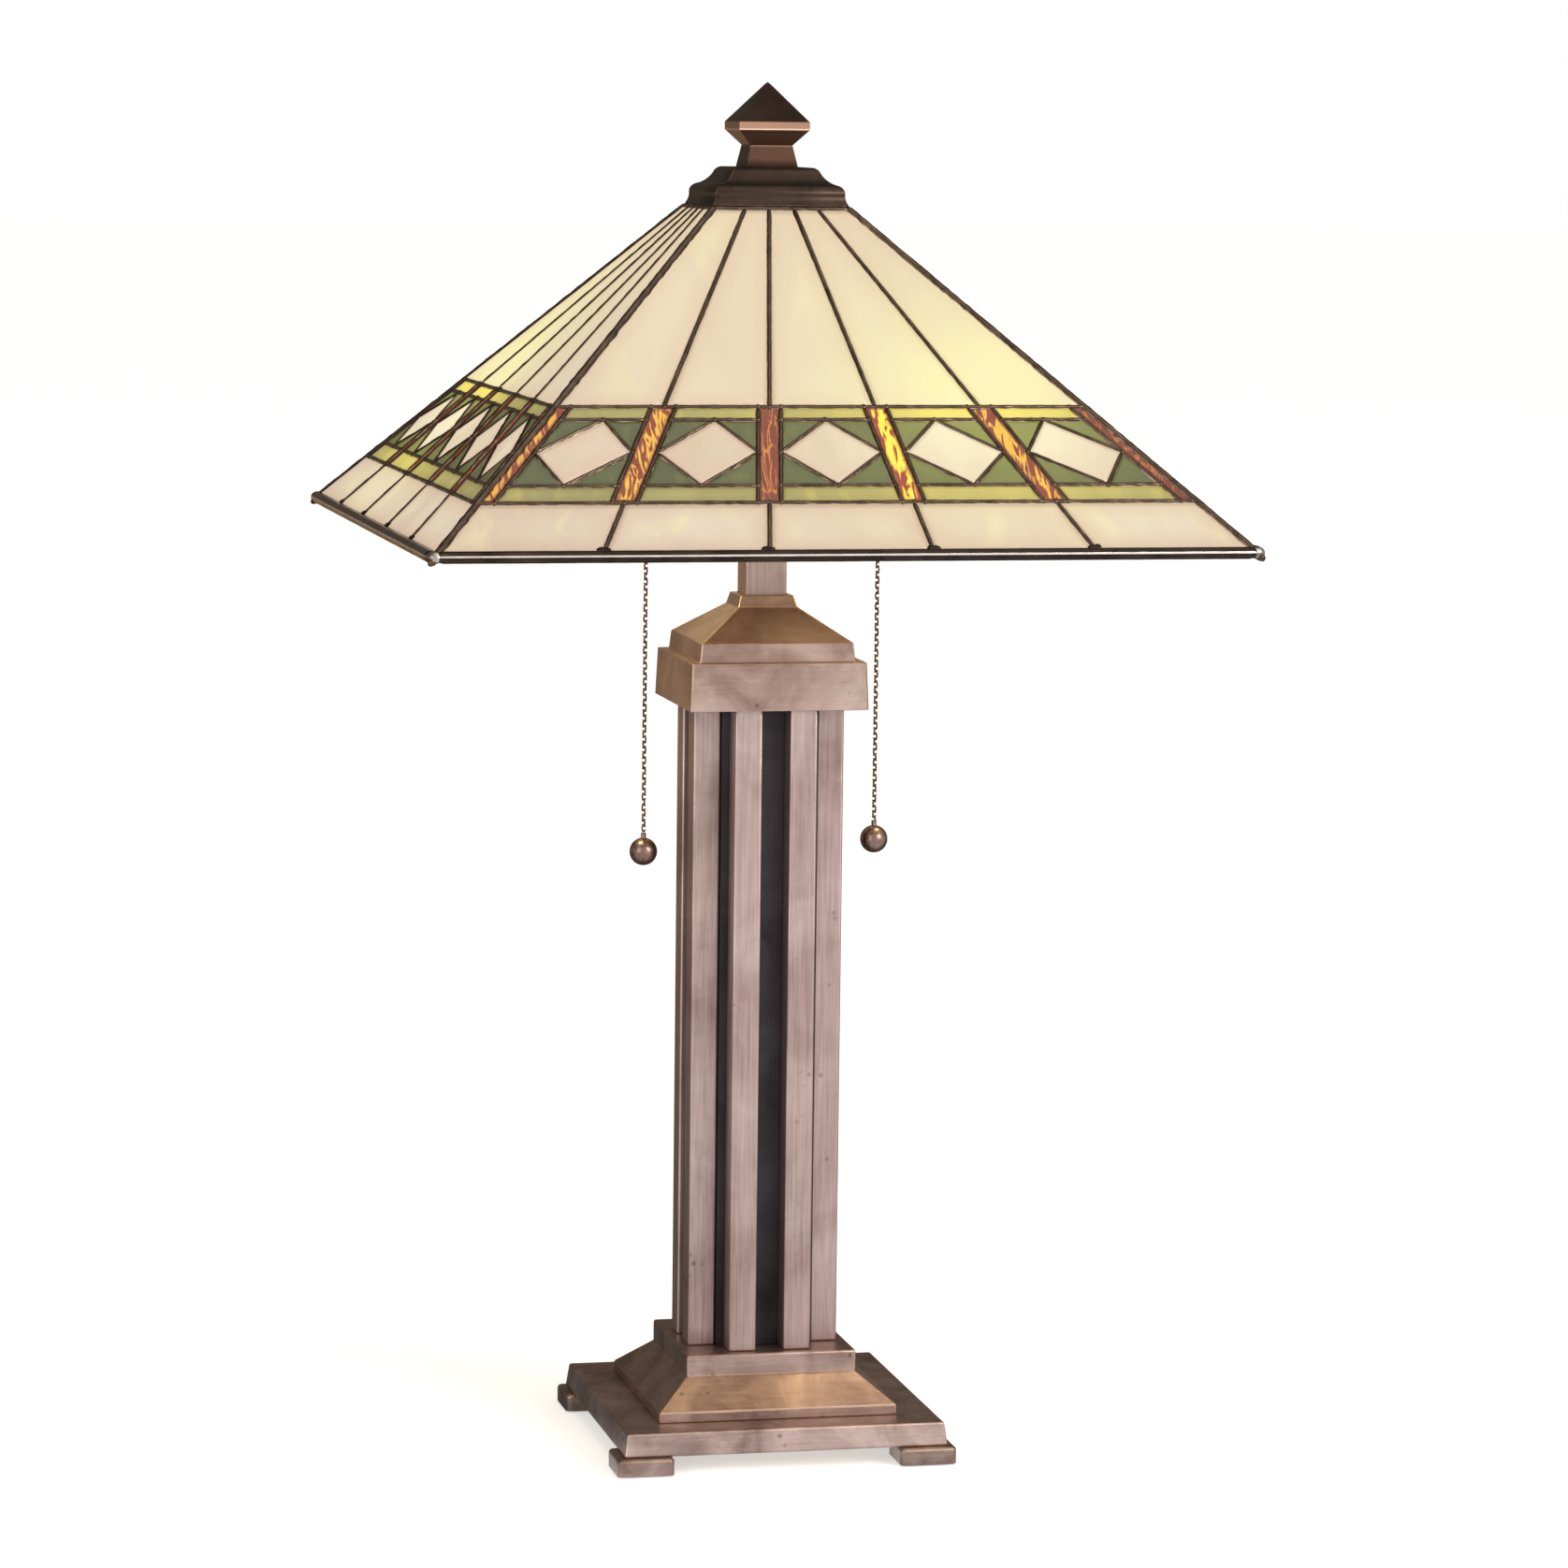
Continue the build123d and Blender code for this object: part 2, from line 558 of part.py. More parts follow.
# A bell-mouthed tube under each socket, which the chain runs through.
SPOUT_BORE = 2.2
SPOUT_TOP_Z = 425.0
with BuildPart() as chain_spouts:
    for side in SIDES.values():
        with BuildSketch(Plane.XZ):
            with BuildLine():
                Polyline(
                    (side * CHAIN_X + SPOUT_BORE, SPOUT_TOP_Z),
                    (side * CHAIN_X + SPOUT_RADIUS, SPOUT_TOP_Z),
                    (side * CHAIN_X + SPOUT_RADIUS, SPOUT_MOUTH_Z + 3),
                    (side * CHAIN_X + SPOUT_RADIUS + 1.3, SPOUT_MOUTH_Z),
                    (side * CHAIN_X + SPOUT_BORE + 1.3, SPOUT_MOUTH_Z),
                    (side * CHAIN_X + SPOUT_BORE, SPOUT_MOUTH_Z + 3),
                    close=True,
                )
            make_face()
        revolve(axis=Axis((side * CHAIN_X, 0, 0), (0, 0, 1)))
chain_spouts.part.label = "chain_spouts"
export_step(chain_spouts.part, "parts/chain_spouts.step")

# ---------------------------------------------------------------- pull chains
STEM_RADIUS = 1.5
LINK_RING_RADIUS = 1.3
LINK_WIRE_RADIUS = 0.4
# Far enough below the first link that the chain's top clears it at the end of its swing.
CHAIN_TOP_Z = SWING_Z - 1.4
for name, side in SIDES.items():
    chain_x = side * CHAIN_X
    with BuildPart() as switch_stem:
        add(upright_cylinder(chain_x, 0, STEM_RADIUS, SWING_Z + 2, STEM_TOP_Z))
    switch_stem.part.label = f"switch_stem_{name}"
    export_step(switch_stem.part, f"parts/switch_stem_{name}.step")

    # The first link, which hangs in the stem's eye.
    with BuildPart() as chain_link:
        with BuildSketch(Plane.XZ):
            with Locations((chain_x + LINK_RING_RADIUS, SWING_Z)):
                Circle(LINK_WIRE_RADIUS)
        revolve(axis=Axis((chain_x, 0, SWING_Z), (0, 0, 1)))
    chain_link.part.label = f"chain_link_{name}"
    export_step(chain_link.part, f"parts/chain_link_{name}.step")

    ball_z = BALL_CENTRE_Z[name]
    eye_bottom = ball_z + BALL_RADIUS - 0.2
    with BuildPart() as pull_chain:
        add(upright_cylinder(chain_x, 0, CHAIN_RADIUS, eye_bottom + EYE_HEIGHT, CHAIN_TOP_Z))
    pull_chain.part.label = f"pull_chain_{name}"
    export_step(pull_chain.part, f"parts/pull_chain_{name}.step")

    with BuildPart() as pull_ball:
        with Locations((chain_x, 0, ball_z)):
            Sphere(BALL_RADIUS)
        add(upright_cylinder(chain_x, 0, EYE_RADIUS, ball_z, eye_bottom + EYE_HEIGHT))
    pull_ball.part.label = f"pull_ball_{name}"
    export_step(pull_ball.part, f"parts/pull_ball_{name}.step")

# ---------------------------------------------------------------- bulbs
BULB_CONTACT_X = 58.0
BULB_SCREW_START_X = 61.0
BULB_GLASS_START_X = 80.0
BULB_NECK_RADIUS = 12.4
BULB_GLASS_WALL = 0.8
for name, side in SIDES.items():
    with BuildPart() as bulb_base:
        add(
            turned_socket(
                [
                    (BULB_CONTACT_X, 0),
                    (BULB_CONTACT_X, 4.5),
                    (BULB_SCREW_START_X, 9.5),
                    (BULB_SCREW_START_X, BULB_BASE_RADIUS),
                    (BULB_GLASS_START_X, BULB_BASE_RADIUS),
                    (BULB_GLASS_START_X, 0),
                ],
                side,
            )
        )
    bulb_base.part.label = f"bulb_base_{name}"
    export_step(bulb_base.part, f"parts/bulb_base_{name}.step")

    # A globe on a short neck, closed all round.
    neck_x = BULB_CENTRE_X - BULB_RADIUS * cos(radians(BULB_NECK_ANGLE))
    neck_z = SOCKET_Z + BULB_RADIUS * sin(radians(BULB_NECK_ANGLE))
    neck_end = (side * neck_x, neck_z)
    globe_top = (side * BULB_CENTRE_X, SOCKET_Z + BULB_RADIUS)
    globe_tip = (side * BULB_TIP_X, SOCKET_Z)
    with BuildPart() as bulb_glass:
        with BuildSketch(Plane.XZ):
            with BuildLine():
                neck = (side * BULB_GLASS_START_X, SOCKET_Z + BULB_NECK_RADIUS)
                Line((side * BULB_GLASS_START_X, SOCKET_Z), neck)
                Line(neck, neck_end)
                ThreePointArc(neck_end, globe_top, globe_tip)
                Line(globe_tip, (side * BULB_GLASS_START_X, SOCKET_Z))
            make_face()
        revolve(axis=Axis((0, 0, SOCKET_Z), (1, 0, 0)))
        with BuildSketch(Plane.XZ):
            with BuildLine():
                inner_radius = BULB_RADIUS - BULB_GLASS_WALL
                Line(
                    (side * (BULB_CENTRE_X - inner_radius), SOCKET_Z),
                    (side * (BULB_CENTRE_X + inner_radius), SOCKET_Z),
                )
                ThreePointArc(
                    (side * (BULB_CENTRE_X - inner_radius), SOCKET_Z),
                    (side * BULB_CENTRE_X, SOCKET_Z + inner_radius),
                    (side * (BULB_CENTRE_X + inner_radius), SOCKET_Z),
                )
            make_face()
        revolve(axis=Axis((0, 0, SOCKET_Z), (1, 0, 0)), mode=Mode.SUBTRACT)
    bulb_glass.part.label = f"bulb_glass_{name}"
    export_step(bulb_glass.part, f"parts/bulb_glass_{name}.step")

# ---------------------------------------------------------------- rod and seat of the shade
SEAT_CLEARANCE = 0.1
SEAT_TOP = CAP_TOP - CAP_WALL - SEAT_CLEARANCE
SEAT_THICKNESS = 1.2
SEAT_RADIUS = 12.0
UPPER_ROD_BOTTOM = 444.0
with BuildPart() as upper_rod:
    add(upright_cylinder(0, 0, PIPE_RADIUS, UPPER_ROD_BOTTOM, UPPER_ROD_TOP))
upper_rod.part.label = "upper_rod"
export_step(upper_rod.part, "parts/upper_rod.step")

with BuildPart() as shade_seat:
    with BuildSketch(Plane.XY.offset(SEAT_TOP - SEAT_THICKNESS)):
        Circle(SEAT_RADIUS)
        Circle(PIPE_RADIUS + THREAD_CLEARANCE, mode=Mode.SUBTRACT)
    extrude(amount=SEAT_THICKNESS)
shade_seat.part.label = "shade_seat"
export_step(shade_seat.part, "parts/shade_seat.step")

with BuildPart() as seat_nut:
    add(hex_nut(NUT_ACROSS_FLATS, SEAT_TOP - SEAT_THICKNESS - NUT_HEIGHT, SEAT_TOP - SEAT_THICKNESS))
seat_nut.part.label = "seat_nut"
export_step(seat_nut.part, "parts/seat_nut.step")

# ---------------------------------------------------------------- shade
slant_length = hypot(SHADE_HALF_BOTTOM - SHADE_HALF_TOP, SHADE_TOP - SHADE_BOTTOM)
rise = (SHADE_TOP - SHADE_BOTTOM) / slant_length
run = (SHADE_HALF_BOTTOM - SHADE_HALF_TOP) / slant_length
# In a face's own coordinates, u runs along the face and v up its slope, both from the
# middle of its bottom edge.
SLAB_START = 4.2
PANE_START = 6.9
PANE_END = slant_length - 1.8


def face_plane(angle, depth):
    """The plane of one face of the shade, depth below the outer surface of the came."""
    out_x, out_y = cos(radians(angle)), sin(radians(angle))
    foot = Vector(out_x * SHADE_HALF_BOTTOM, out_y * SHADE_HALF_BOTTOM, SHADE_BOTTOM)
    outward = Vector(out_x * rise, out_y * rise, run)
    return Plane(origin=foot - outward * depth, x_dir=(-out_y, out_x, 0), z_dir=outward)


def lead_u(line, v, shift=0.0):
    """Where a lead line stands at height v, moved sideways by shift, square to the line."""
    bottom = line[0] * SHADE_HALF_BOTTOM
    top = line[1] * SHADE_HALF_TOP
    slope = (top - bottom) / slant_length
    return bottom + slope * v + shift * hypot(1, slope)


def quad(left, right, low, high, left_shift=0.0, right_shift=0.0):
    """The four corners between two lead lines and two heights, anticlockwise."""
    return [
        (lead_u(left, low, left_shift), low),
        (lead_u(right, low, right_shift), low),
        (lead_u(right, high, right_shift), high),
        (lead_u(left, high, left_shift), high),
    ]


def pane(outline, gaps):
    """A convex outline, given anticlockwise, moved in by each side's gap, in order."""
    count = len(outline)
    lines = []
    for i, gap in enumerate(gaps):
        (ax, ay), (bx, by) = outline[i], outline[(i + 1) % count]
        length = hypot(bx - ax, by - ay)
        nx, ny = -(by - ay) / length, (bx - ax) / length
        lines.append((nx, ny, nx * ax + ny * ay + gap))
    corners = []
    for i in range(count):
        (a1, b1, c1), (a2, b2, c2) = lines[i - 1], lines[i]
        det = a1 * b2 - a2 * b1
        corners.append(((c1 * b2 - c2 * b1) / det, (a1 * c2 - a2 * c1) / det))
    return corners


def middle(a, b):
    return ((a[0] + b[0]) / 2, (a[1] + b[1]) / 2)


half_lead = LEAD_WIDTH / 2
amber_side = AMBER_WIDTH / 2 + half_lead
amber_inner = HIP_LEAD + HIP_AMBER_WIDTH + half_lead
v_band_bottom = BAND_BOTTOM * slant_length
v_strip_top = STRIP_TOP * slant_length
v_diamond_top = DIAMOND_TOP * slant_length
v_band_top = BAND_TOP * slant_length

glass_names = ("cream_upper", "cream_lower", "light_green", "dark_green", "diamond", "amber")
panes = {name: [] for name in glass_names}
for left, right in zip(LEAD_LINES, LEAD_LINES[1:]):
    left_is_hip = left[0] == -1.0
    right_is_hip = right[0] == 1.0
    left_gap = HIP_LEAD if left_is_hip else half_lead
    right_gap = HIP_LEAD if right_is_hip else half_lead
    lower = quad(left, right, PANE_START, v_band_bottom)
    panes["cream_lower"].append(pane(lower, (0, right_gap, half_lead, left_gap)))
    upper = quad(left, right, v_band_top, PANE_END)
    panes["cream_upper"].append(pane(upper, (half_lead, right_gap, 0, left_gap)))
    left_shift = amber_inner if left_is_hip else amber_side
    right_shift = -amber_inner if right_is_hip else -amber_side
    even = (half_lead,) * 4
    for low, high in ((v_band_bottom, v_strip_top), (v_diamond_top, v_band_top)):
        panes["light_green"].append(pane(quad(left, right, low, high, left_shift, right_shift), even))
    cell = quad(left, right, v_strip_top, v_diamond_top, left_shift, right_shift)
    tips = [middle(cell[i], cell[(i + 1) % 4]) for i in range(4)]
    panes["diamond"].append(pane(tips, even))
    for i in range(4):
        triangle = [cell[i], tips[i], tips[i - 1]]
        panes["dark_green"].append(pane(triangle, (half_lead,) * 3))
for line in LEAD_LINES:
    if line[0] == -1.0:
        outline = quad(line, line, v_band_bottom, v_band_top, 0, amber_inner)
        panes["amber"].append(pane(outline, (half_lead, half_lead, half_lead, HIP_LEAD)))
    elif line[0] == 1.0:
        outline = quad(line, line, v_band_bottom, v_band_top, -amber_inner, 0)
        panes["amber"].append(pane(outline, (half_lead, HIP_LEAD, half_lead, half_lead)))
    else:
        outline = quad(line, line, v_band_bottom, v_band_top, -amber_side, amber_side)
        panes["amber"].append(pane(outline, (half_lead,) * 4))


# Further than any part of the shade.
REACH = 200


def quarter(angle, low, high):
    """The quarter of the space round the lamp's axis that one face of the shade fills."""
    with BuildPart() as body:
        with BuildSketch(Plane.XY.rotated((0, 0, angle)).offset(low)):
            Polygon((0, 0), (REACH, -REACH), (REACH, REACH), align=None)
        extrude(amount=high - low)
    return body.part


# One lattice of soldered came for each face, mitred along the hips and cut level on top.
slab_end = slant_length + 2 * CAME_THICKNESS
for face, angle in FACES.items():
    hips = (LEAD_LINES[0], LEAD_LINES[-1])
    with BuildPart() as shade_came:
        with BuildSketch(face_plane(angle, 0)):
            Polygon(*quad(hips[0], hips[1], SLAB_START, slab_end), align=None)
            for shapes in panes.values():
                for corners_of_pane in shapes:
                    Polygon(*corners_of_pane, align=None, mode=Mode.SUBTRACT)
        extrude(amount=-CAME_THICKNESS)
        add(quarter(angle, SHADE_BOTTOM - 10, SHADE_TOP), mode=Mode.INTERSECT)
    shade_came.part.label = f"shade_came_{face}"
    export_step(shade_came.part, f"parts/shade_came_{face}.step")

for kind, shapes in panes.items():
    with BuildPart() as glass:
        for angle in FACES.values():
            with BuildSketch(face_plane(angle, GLASS_RECESS)):
                for corners_of_pane in shapes:
                    Polygon(*corners_of_pane, align=None)
            extrude(amount=-GLASS_THICKNESS)
    glass.part.label = f"{kind}_panes"
    export_step(glass.part, f"parts/{kind}_panes.step")

# Four round rim strips, mitred at the corners. Each has a seat for the bottom of its face.
with BuildPart() as shade_rim:
    for angle in FACES.values():
        out_x, out_y = cos(radians(angle)), sin(radians(angle))
        with BuildPart(mode=Mode.PRIVATE) as strip:
            with BuildSketch(Plane((0, 0, 0), x_dir=(out_x, out_y, 0), z_dir=(out_y, -out_x, 0))):
                with Locations((RIM_CENTRE_HALF, RIM_CENTRE_Z)):
                    Circle(RIM_RADIUS)
            extrude(amount=REACH, both=True)
            with BuildSketch(face_plane(angle, 0)):
                with Locations((0, SLAB_START)):
                    Rectangle(2 * REACH, REACH - SLAB_START, align=(Align.CENTER, Align.MIN))
            extrude(amount=-CAME_THICKNESS, mode=Mode.SUBTRACT)
            add(quarter(angle, SHADE_BOTTOM - 10, SHADE_TOP), mode=Mode.INTERSECT)
        add(strip.part)
shade_rim.part.label = "shade_rim"
export_step(shade_rim.part, "parts/shade_rim.step")

# The cap is a pressed square cover: flared foot, band with a rounded shoulder, ogee and flat top.
FLARE_HEIGHT = 4.0
with BuildSketch() as cap_outline:
    with BuildLine():
        foot = (SHADE_HALF_TOP, SHADE_TOP)
        flare_middle = (CAP_BAND_HALF + 0.5, SHADE_TOP + FLARE_HEIGHT / 2)
        band_foot = (CAP_BAND_HALF, SHADE_TOP + FLARE_HEIGHT)
        band_top = (CAP_BAND_HALF, CAP_SHOULDER_Z - CAP_SHOULDER_ROUNDING)
        shoulder_middle = (CAP_BAND_HALF - 1.0, CAP_SHOULDER_Z - 1.2)
        shoulder = (CAP_SHOULDER_HALF, CAP_SHOULDER_Z)
        ogee_foot_middle = (CAP_TOP_HALF + 6.2, CAP_TOP - 5.6)
        ogee_middle = (CAP_TOP_HALF + 3.7, CAP_TOP - 2.4)
        ogee_top_middle = (CAP_TOP_HALF + 2.4, CAP_TOP - 0.7)
        top_edge = (CAP_TOP_HALF, CAP_TOP)
        Line((0, SHADE_TOP), foot)
        ThreePointArc(foot, flare_middle, band_foot)
        Line(band_foot, band_top)
        ThreePointArc(band_top, shoulder_middle, shoulder)
        ThreePointArc(shoulder, ogee_foot_middle, ogee_middle)
        ThreePointArc(ogee_middle, ogee_top_middle, top_edge)
        Line(top_edge, (0, CAP_TOP))
        Line((0, CAP_TOP), (0, SHADE_TOP))
    make_face()
    mirror(about=Plane.YZ)
came_top_inner = SHADE_HALF_TOP - CAME_THICKNESS / rise
with BuildPart() as shade_cap:
    with BuildSketch(Plane.XZ):
        add(cap_outline.sketch)
    extrude(amount=SHADE_HALF_TOP + 5, both=True)
    with BuildSketch(Plane.YZ):
        add(cap_outline.sketch)
    extrude(amount=SHADE_HALF_TOP + 5, both=True, mode=Mode.INTERSECT)
    hollow_outline = [
        (came_top_inner, SHADE_TOP),
        (came_top_inner, CAP_SHOULDER_Z - CAP_SHOULDER_ROUNDING),
        (CAP_TOP_HALF - CAP_WALL, CAP_TOP - CAP_WALL),
    ]
    add(square_turned(hollow_outline), mode=Mode.SUBTRACT)
    add(upright_cylinder(0, 0, CAP_HOLE_RADIUS, SHADE_TOP, CAP_TOP + 1), mode=Mode.SUBTRACT)
shade_cap.part.label = "shade_cap"
export_step(shade_cap.part, "parts/shade_cap.step")

# ---------------------------------------------------------------- finial
with BuildSketch() as finial_outline:
    with BuildLine():
        rounding = FINIAL_TIP_ROUNDING
        slope = (FINIAL_TIP - FINIAL_BAND_TOP) / FINIAL_WIDEST_HALF
        tip_side = (rounding, FINIAL_TIP - rounding * slope * 0.8)
        Polyline(
            (0, FINIAL_BOTTOM),
            (FINIAL_FOOT_HALF, FINIAL_BOTTOM),
            (FINIAL_WAIST_HALF, FINIAL_WAIST_Z),
            (FINIAL_WIDEST_HALF, FINIAL_BAND_BOTTOM),
            (FINIAL_WIDEST_HALF, FINIAL_BAND_TOP),
            tip_side,
        )
        Line(tip_side, (0, FINIAL_TIP))
        Line((0, FINIAL_TIP), (0, FINIAL_BOTTOM))
    make_face()
    mirror(about=Plane.YZ)
INSERT_RADIUS = 6.5
INSERT_TOP = 593.0
with BuildPart() as finial:
    with BuildSketch(Plane.XZ):
        add(finial_outline.sketch)
    extrude(amount=FINIAL_WIDEST_HALF + 5, both=True)
    with BuildSketch(Plane.YZ):
        add(finial_outline.sketch)
    extrude(amount=FINIAL_WIDEST_HALF + 5, both=True, mode=Mode.INTERSECT)
    insert_bore = upright_cylinder(0, 0, INSERT_RADIUS + THREAD_CLEARANCE, FINIAL_BOTTOM, INSERT_TOP)
    add(insert_bore, mode=Mode.SUBTRACT)
finial.part.label = "finial"
export_step(finial.part, "parts/finial.step")

with BuildPart() as finial_insert:
    add(upright_cylinder(0, 0, INSERT_RADIUS, FINIAL_BOTTOM, INSERT_TOP))
    thread_bore = upright_cylinder(0, 0, PIPE_RADIUS + THREAD_CLEARANCE, FINIAL_BOTTOM, INSERT_TOP)
    add(thread_bore, mode=Mode.SUBTRACT)
finial_insert.part.label = "finial_insert"
export_step(finial_insert.part, "parts/finial_insert.step")
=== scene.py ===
import math

import bmesh
import bpy
from mathutils import Matrix, Vector, noise


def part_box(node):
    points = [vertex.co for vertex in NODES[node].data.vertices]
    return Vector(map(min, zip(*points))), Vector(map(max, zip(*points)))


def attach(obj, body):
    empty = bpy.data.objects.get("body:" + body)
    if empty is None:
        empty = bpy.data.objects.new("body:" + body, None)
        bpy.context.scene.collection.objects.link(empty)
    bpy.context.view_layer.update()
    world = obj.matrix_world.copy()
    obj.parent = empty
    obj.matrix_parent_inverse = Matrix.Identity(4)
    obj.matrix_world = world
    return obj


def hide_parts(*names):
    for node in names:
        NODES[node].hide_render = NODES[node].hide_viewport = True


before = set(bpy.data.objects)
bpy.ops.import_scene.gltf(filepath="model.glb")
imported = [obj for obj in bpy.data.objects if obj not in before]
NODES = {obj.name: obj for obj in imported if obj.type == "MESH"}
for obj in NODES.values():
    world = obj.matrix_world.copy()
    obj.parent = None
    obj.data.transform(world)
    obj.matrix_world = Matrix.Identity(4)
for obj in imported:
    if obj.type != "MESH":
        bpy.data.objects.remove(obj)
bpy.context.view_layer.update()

# Table lamp with a leaded glass shade. Metres, in the CAD frame: +Z up, front faces -Y.
MM = 0.001
SIDES = ("left", "right")
FACES = {"front": -90, "right": 0, "back": 90, "left": 180}
UP = Vector((0, 0, 1))

scene = bpy.context.scene
scene.view_settings.view_transform = "Standard"

# ---------------------------------------------------------------- camera
CAMERA_PLACE = (-0.5455, -2.4975, 0.614)
CAMERA_HEADING = 12.57
CAMERA_PITCH = -6.93
CAMERA_ROLL = 0.68
CAMERA_LENS = 129.2

camera = bpy.data.objects.new("camera", bpy.data.cameras.new("camera"))
scene.collection.objects.link(camera)
camera.data.lens = CAMERA_LENS
camera.data.sensor_width = 36
camera.data.clip_end = 100
camera.matrix_world = (
    Matrix.Translation(CAMERA_PLACE)
    @ Matrix.Rotation(math.radians(-CAMERA_HEADING), 4, "Z")
    @ Matrix.Rotation(math.radians(90 + CAMERA_PITCH), 4, "X")
    @ Matrix.Rotation(math.radians(CAMERA_ROLL), 4, "Z")
)
scene.camera = camera


# ---------------------------------------------------------------- small node kit
RANGE_SOCKETS = ("From Min", "From Max", "To Min", "To Max")


class Shader:
    """A new material and short names for the nodes that it is built from."""

    def __init__(self, name):
        self.material = bpy.data.materials.new(name)
        self.material.use_nodes = True
        self.tree = self.material.node_tree
        self.surface = self.tree.nodes["Principled BSDF"]

    def node(self, kind, **values):
        made = self.tree.nodes.new(kind)
        for name, value in values.items():
            setattr(made, name, value)
        return made

    def link(self, source, target):
        self.tree.links.new(source, target)

    def put(self, value, socket):
        """Sets a socket from a number, a colour or another node's output."""
        if isinstance(value, bpy.types.NodeSocket):
            self.link(value, socket)
        elif isinstance(value, tuple) and len(value) == 3 and socket.type == "RGBA":
            socket.default_value = (*value, 1)
        else:
            socket.default_value = value

    def place(self, scale=(1, 1, 1)):
        """Object position, in metres, scaled along each axis."""
        mapping = self.node("ShaderNodeMapping")
        mapping.inputs["Scale"].default_value = scale
        self.link(self.node("ShaderNodeTexCoord").outputs["Object"], mapping.inputs["Vector"])
        return mapping.outputs["Vector"]

    def attribute(self, name, scale=None):
        """A value that the mesh carries, as a vector if a scale is given."""
        read = self.node("ShaderNodeAttribute", attribute_name=name)
        if scale is None:
            return read.outputs["Fac"]
        mapping = self.node("ShaderNodeMapping")
        mapping.inputs["Scale"].default_value = scale
        self.link(read.outputs["Vector"], mapping.inputs["Vector"])
        return mapping.outputs["Vector"]

    def noise(self, vector, scale, detail=3.0, roughness=0.55, distortion=0.0):
        made = self.node("ShaderNodeTexNoise")
        self.link(vector, made.inputs["Vector"])
        made.inputs["Scale"].default_value = scale
        made.inputs["Detail"].default_value = detail
        made.inputs["Roughness"].default_value = roughness
        made.inputs["Distortion"].default_value = distortion
        return made.outputs["Fac"]

    def range(self, value, low, high, to_low=0.0, to_high=1.0):
        """value between low and high, spread over to_low to to_high and cut off there."""
        made = self.node("ShaderNodeMapRange")
        self.put(value, made.inputs["Value"])
        for name, number in zip(RANGE_SOCKETS, (low, high, to_low, to_high)):
            made.inputs[name].default_value = number
        return made.outputs["Result"]

    def math(self, operation, a, b=0.0):
        made = self.node("ShaderNodeMath", operation=operation)
        self.put(a, made.inputs[0])
        self.put(b, made.inputs[1])
        return made.outputs[0]

    def mix(self, share, a, b, blend="MIX"):
        """Two colours mixed."""
        made = self.node("ShaderNodeMix", data_type="RGBA", blend_type=blend)
        self.put(share, made.inputs["Factor"])
        self.put(a, made.inputs[6])
        self.put(b, made.inputs[7])
        return made.outputs[2]

    def bump(self, height, strength, distance):
        made = self.node("ShaderNodeBump")
        made.inputs["Strength"].default_value = strength
        made.inputs["Distance"].default_value = distance
        self.link(height, made.inputs["Height"])
        self.link(made.outputs["Normal"], self.surface.inputs["Normal"])

    def set(self, **values):
        """Sets sockets of the Principled shader, with _ in place of spaces."""
        for name, value in values.items():
            self.put(value, self.surface.inputs[name.replace("_", " ")])
        return self.material


def linear(red, green, blue):
    """A colour named by its 0-255 screen values, as Blender's linear numbers."""
    shares = (channel / 255 for channel in (red, green, blue))
    return tuple(c / 12.92 if c <= 0.04045 else ((c + 0.055) / 1.055) ** 2.4 for c in shares)


# ---------------------------------------------------------------- light and floor
CEILING_SHARE = 0.55
BACK_SHARE = 0.15
HORIZON_TINT = (1.0, 0.98, 0.97)
CEILING_TINT = (1.0, 0.80, 0.62)
FLOOR_FRONT = 1.0
FLOOR_BACK = 0.08
FLOOR_GLOW = 0.5
FLOOR_GLOW_TINT = (0.92, 0.97, 1.0)
FLOOR_NEAR_TINT = (1.0, 0.97, 0.95)
FLOOR_FAR_TINT = (0.34, 0.22, 0.12)
FLOOR_REACH = 25.0
LIGHT_AIM = (0, 0, 0.3)
CEILING_POWER = 0.9
CEILING_SPREAD = math.radians(70)
CEILING_TURN = (math.radians(18), math.radians(12), 0)


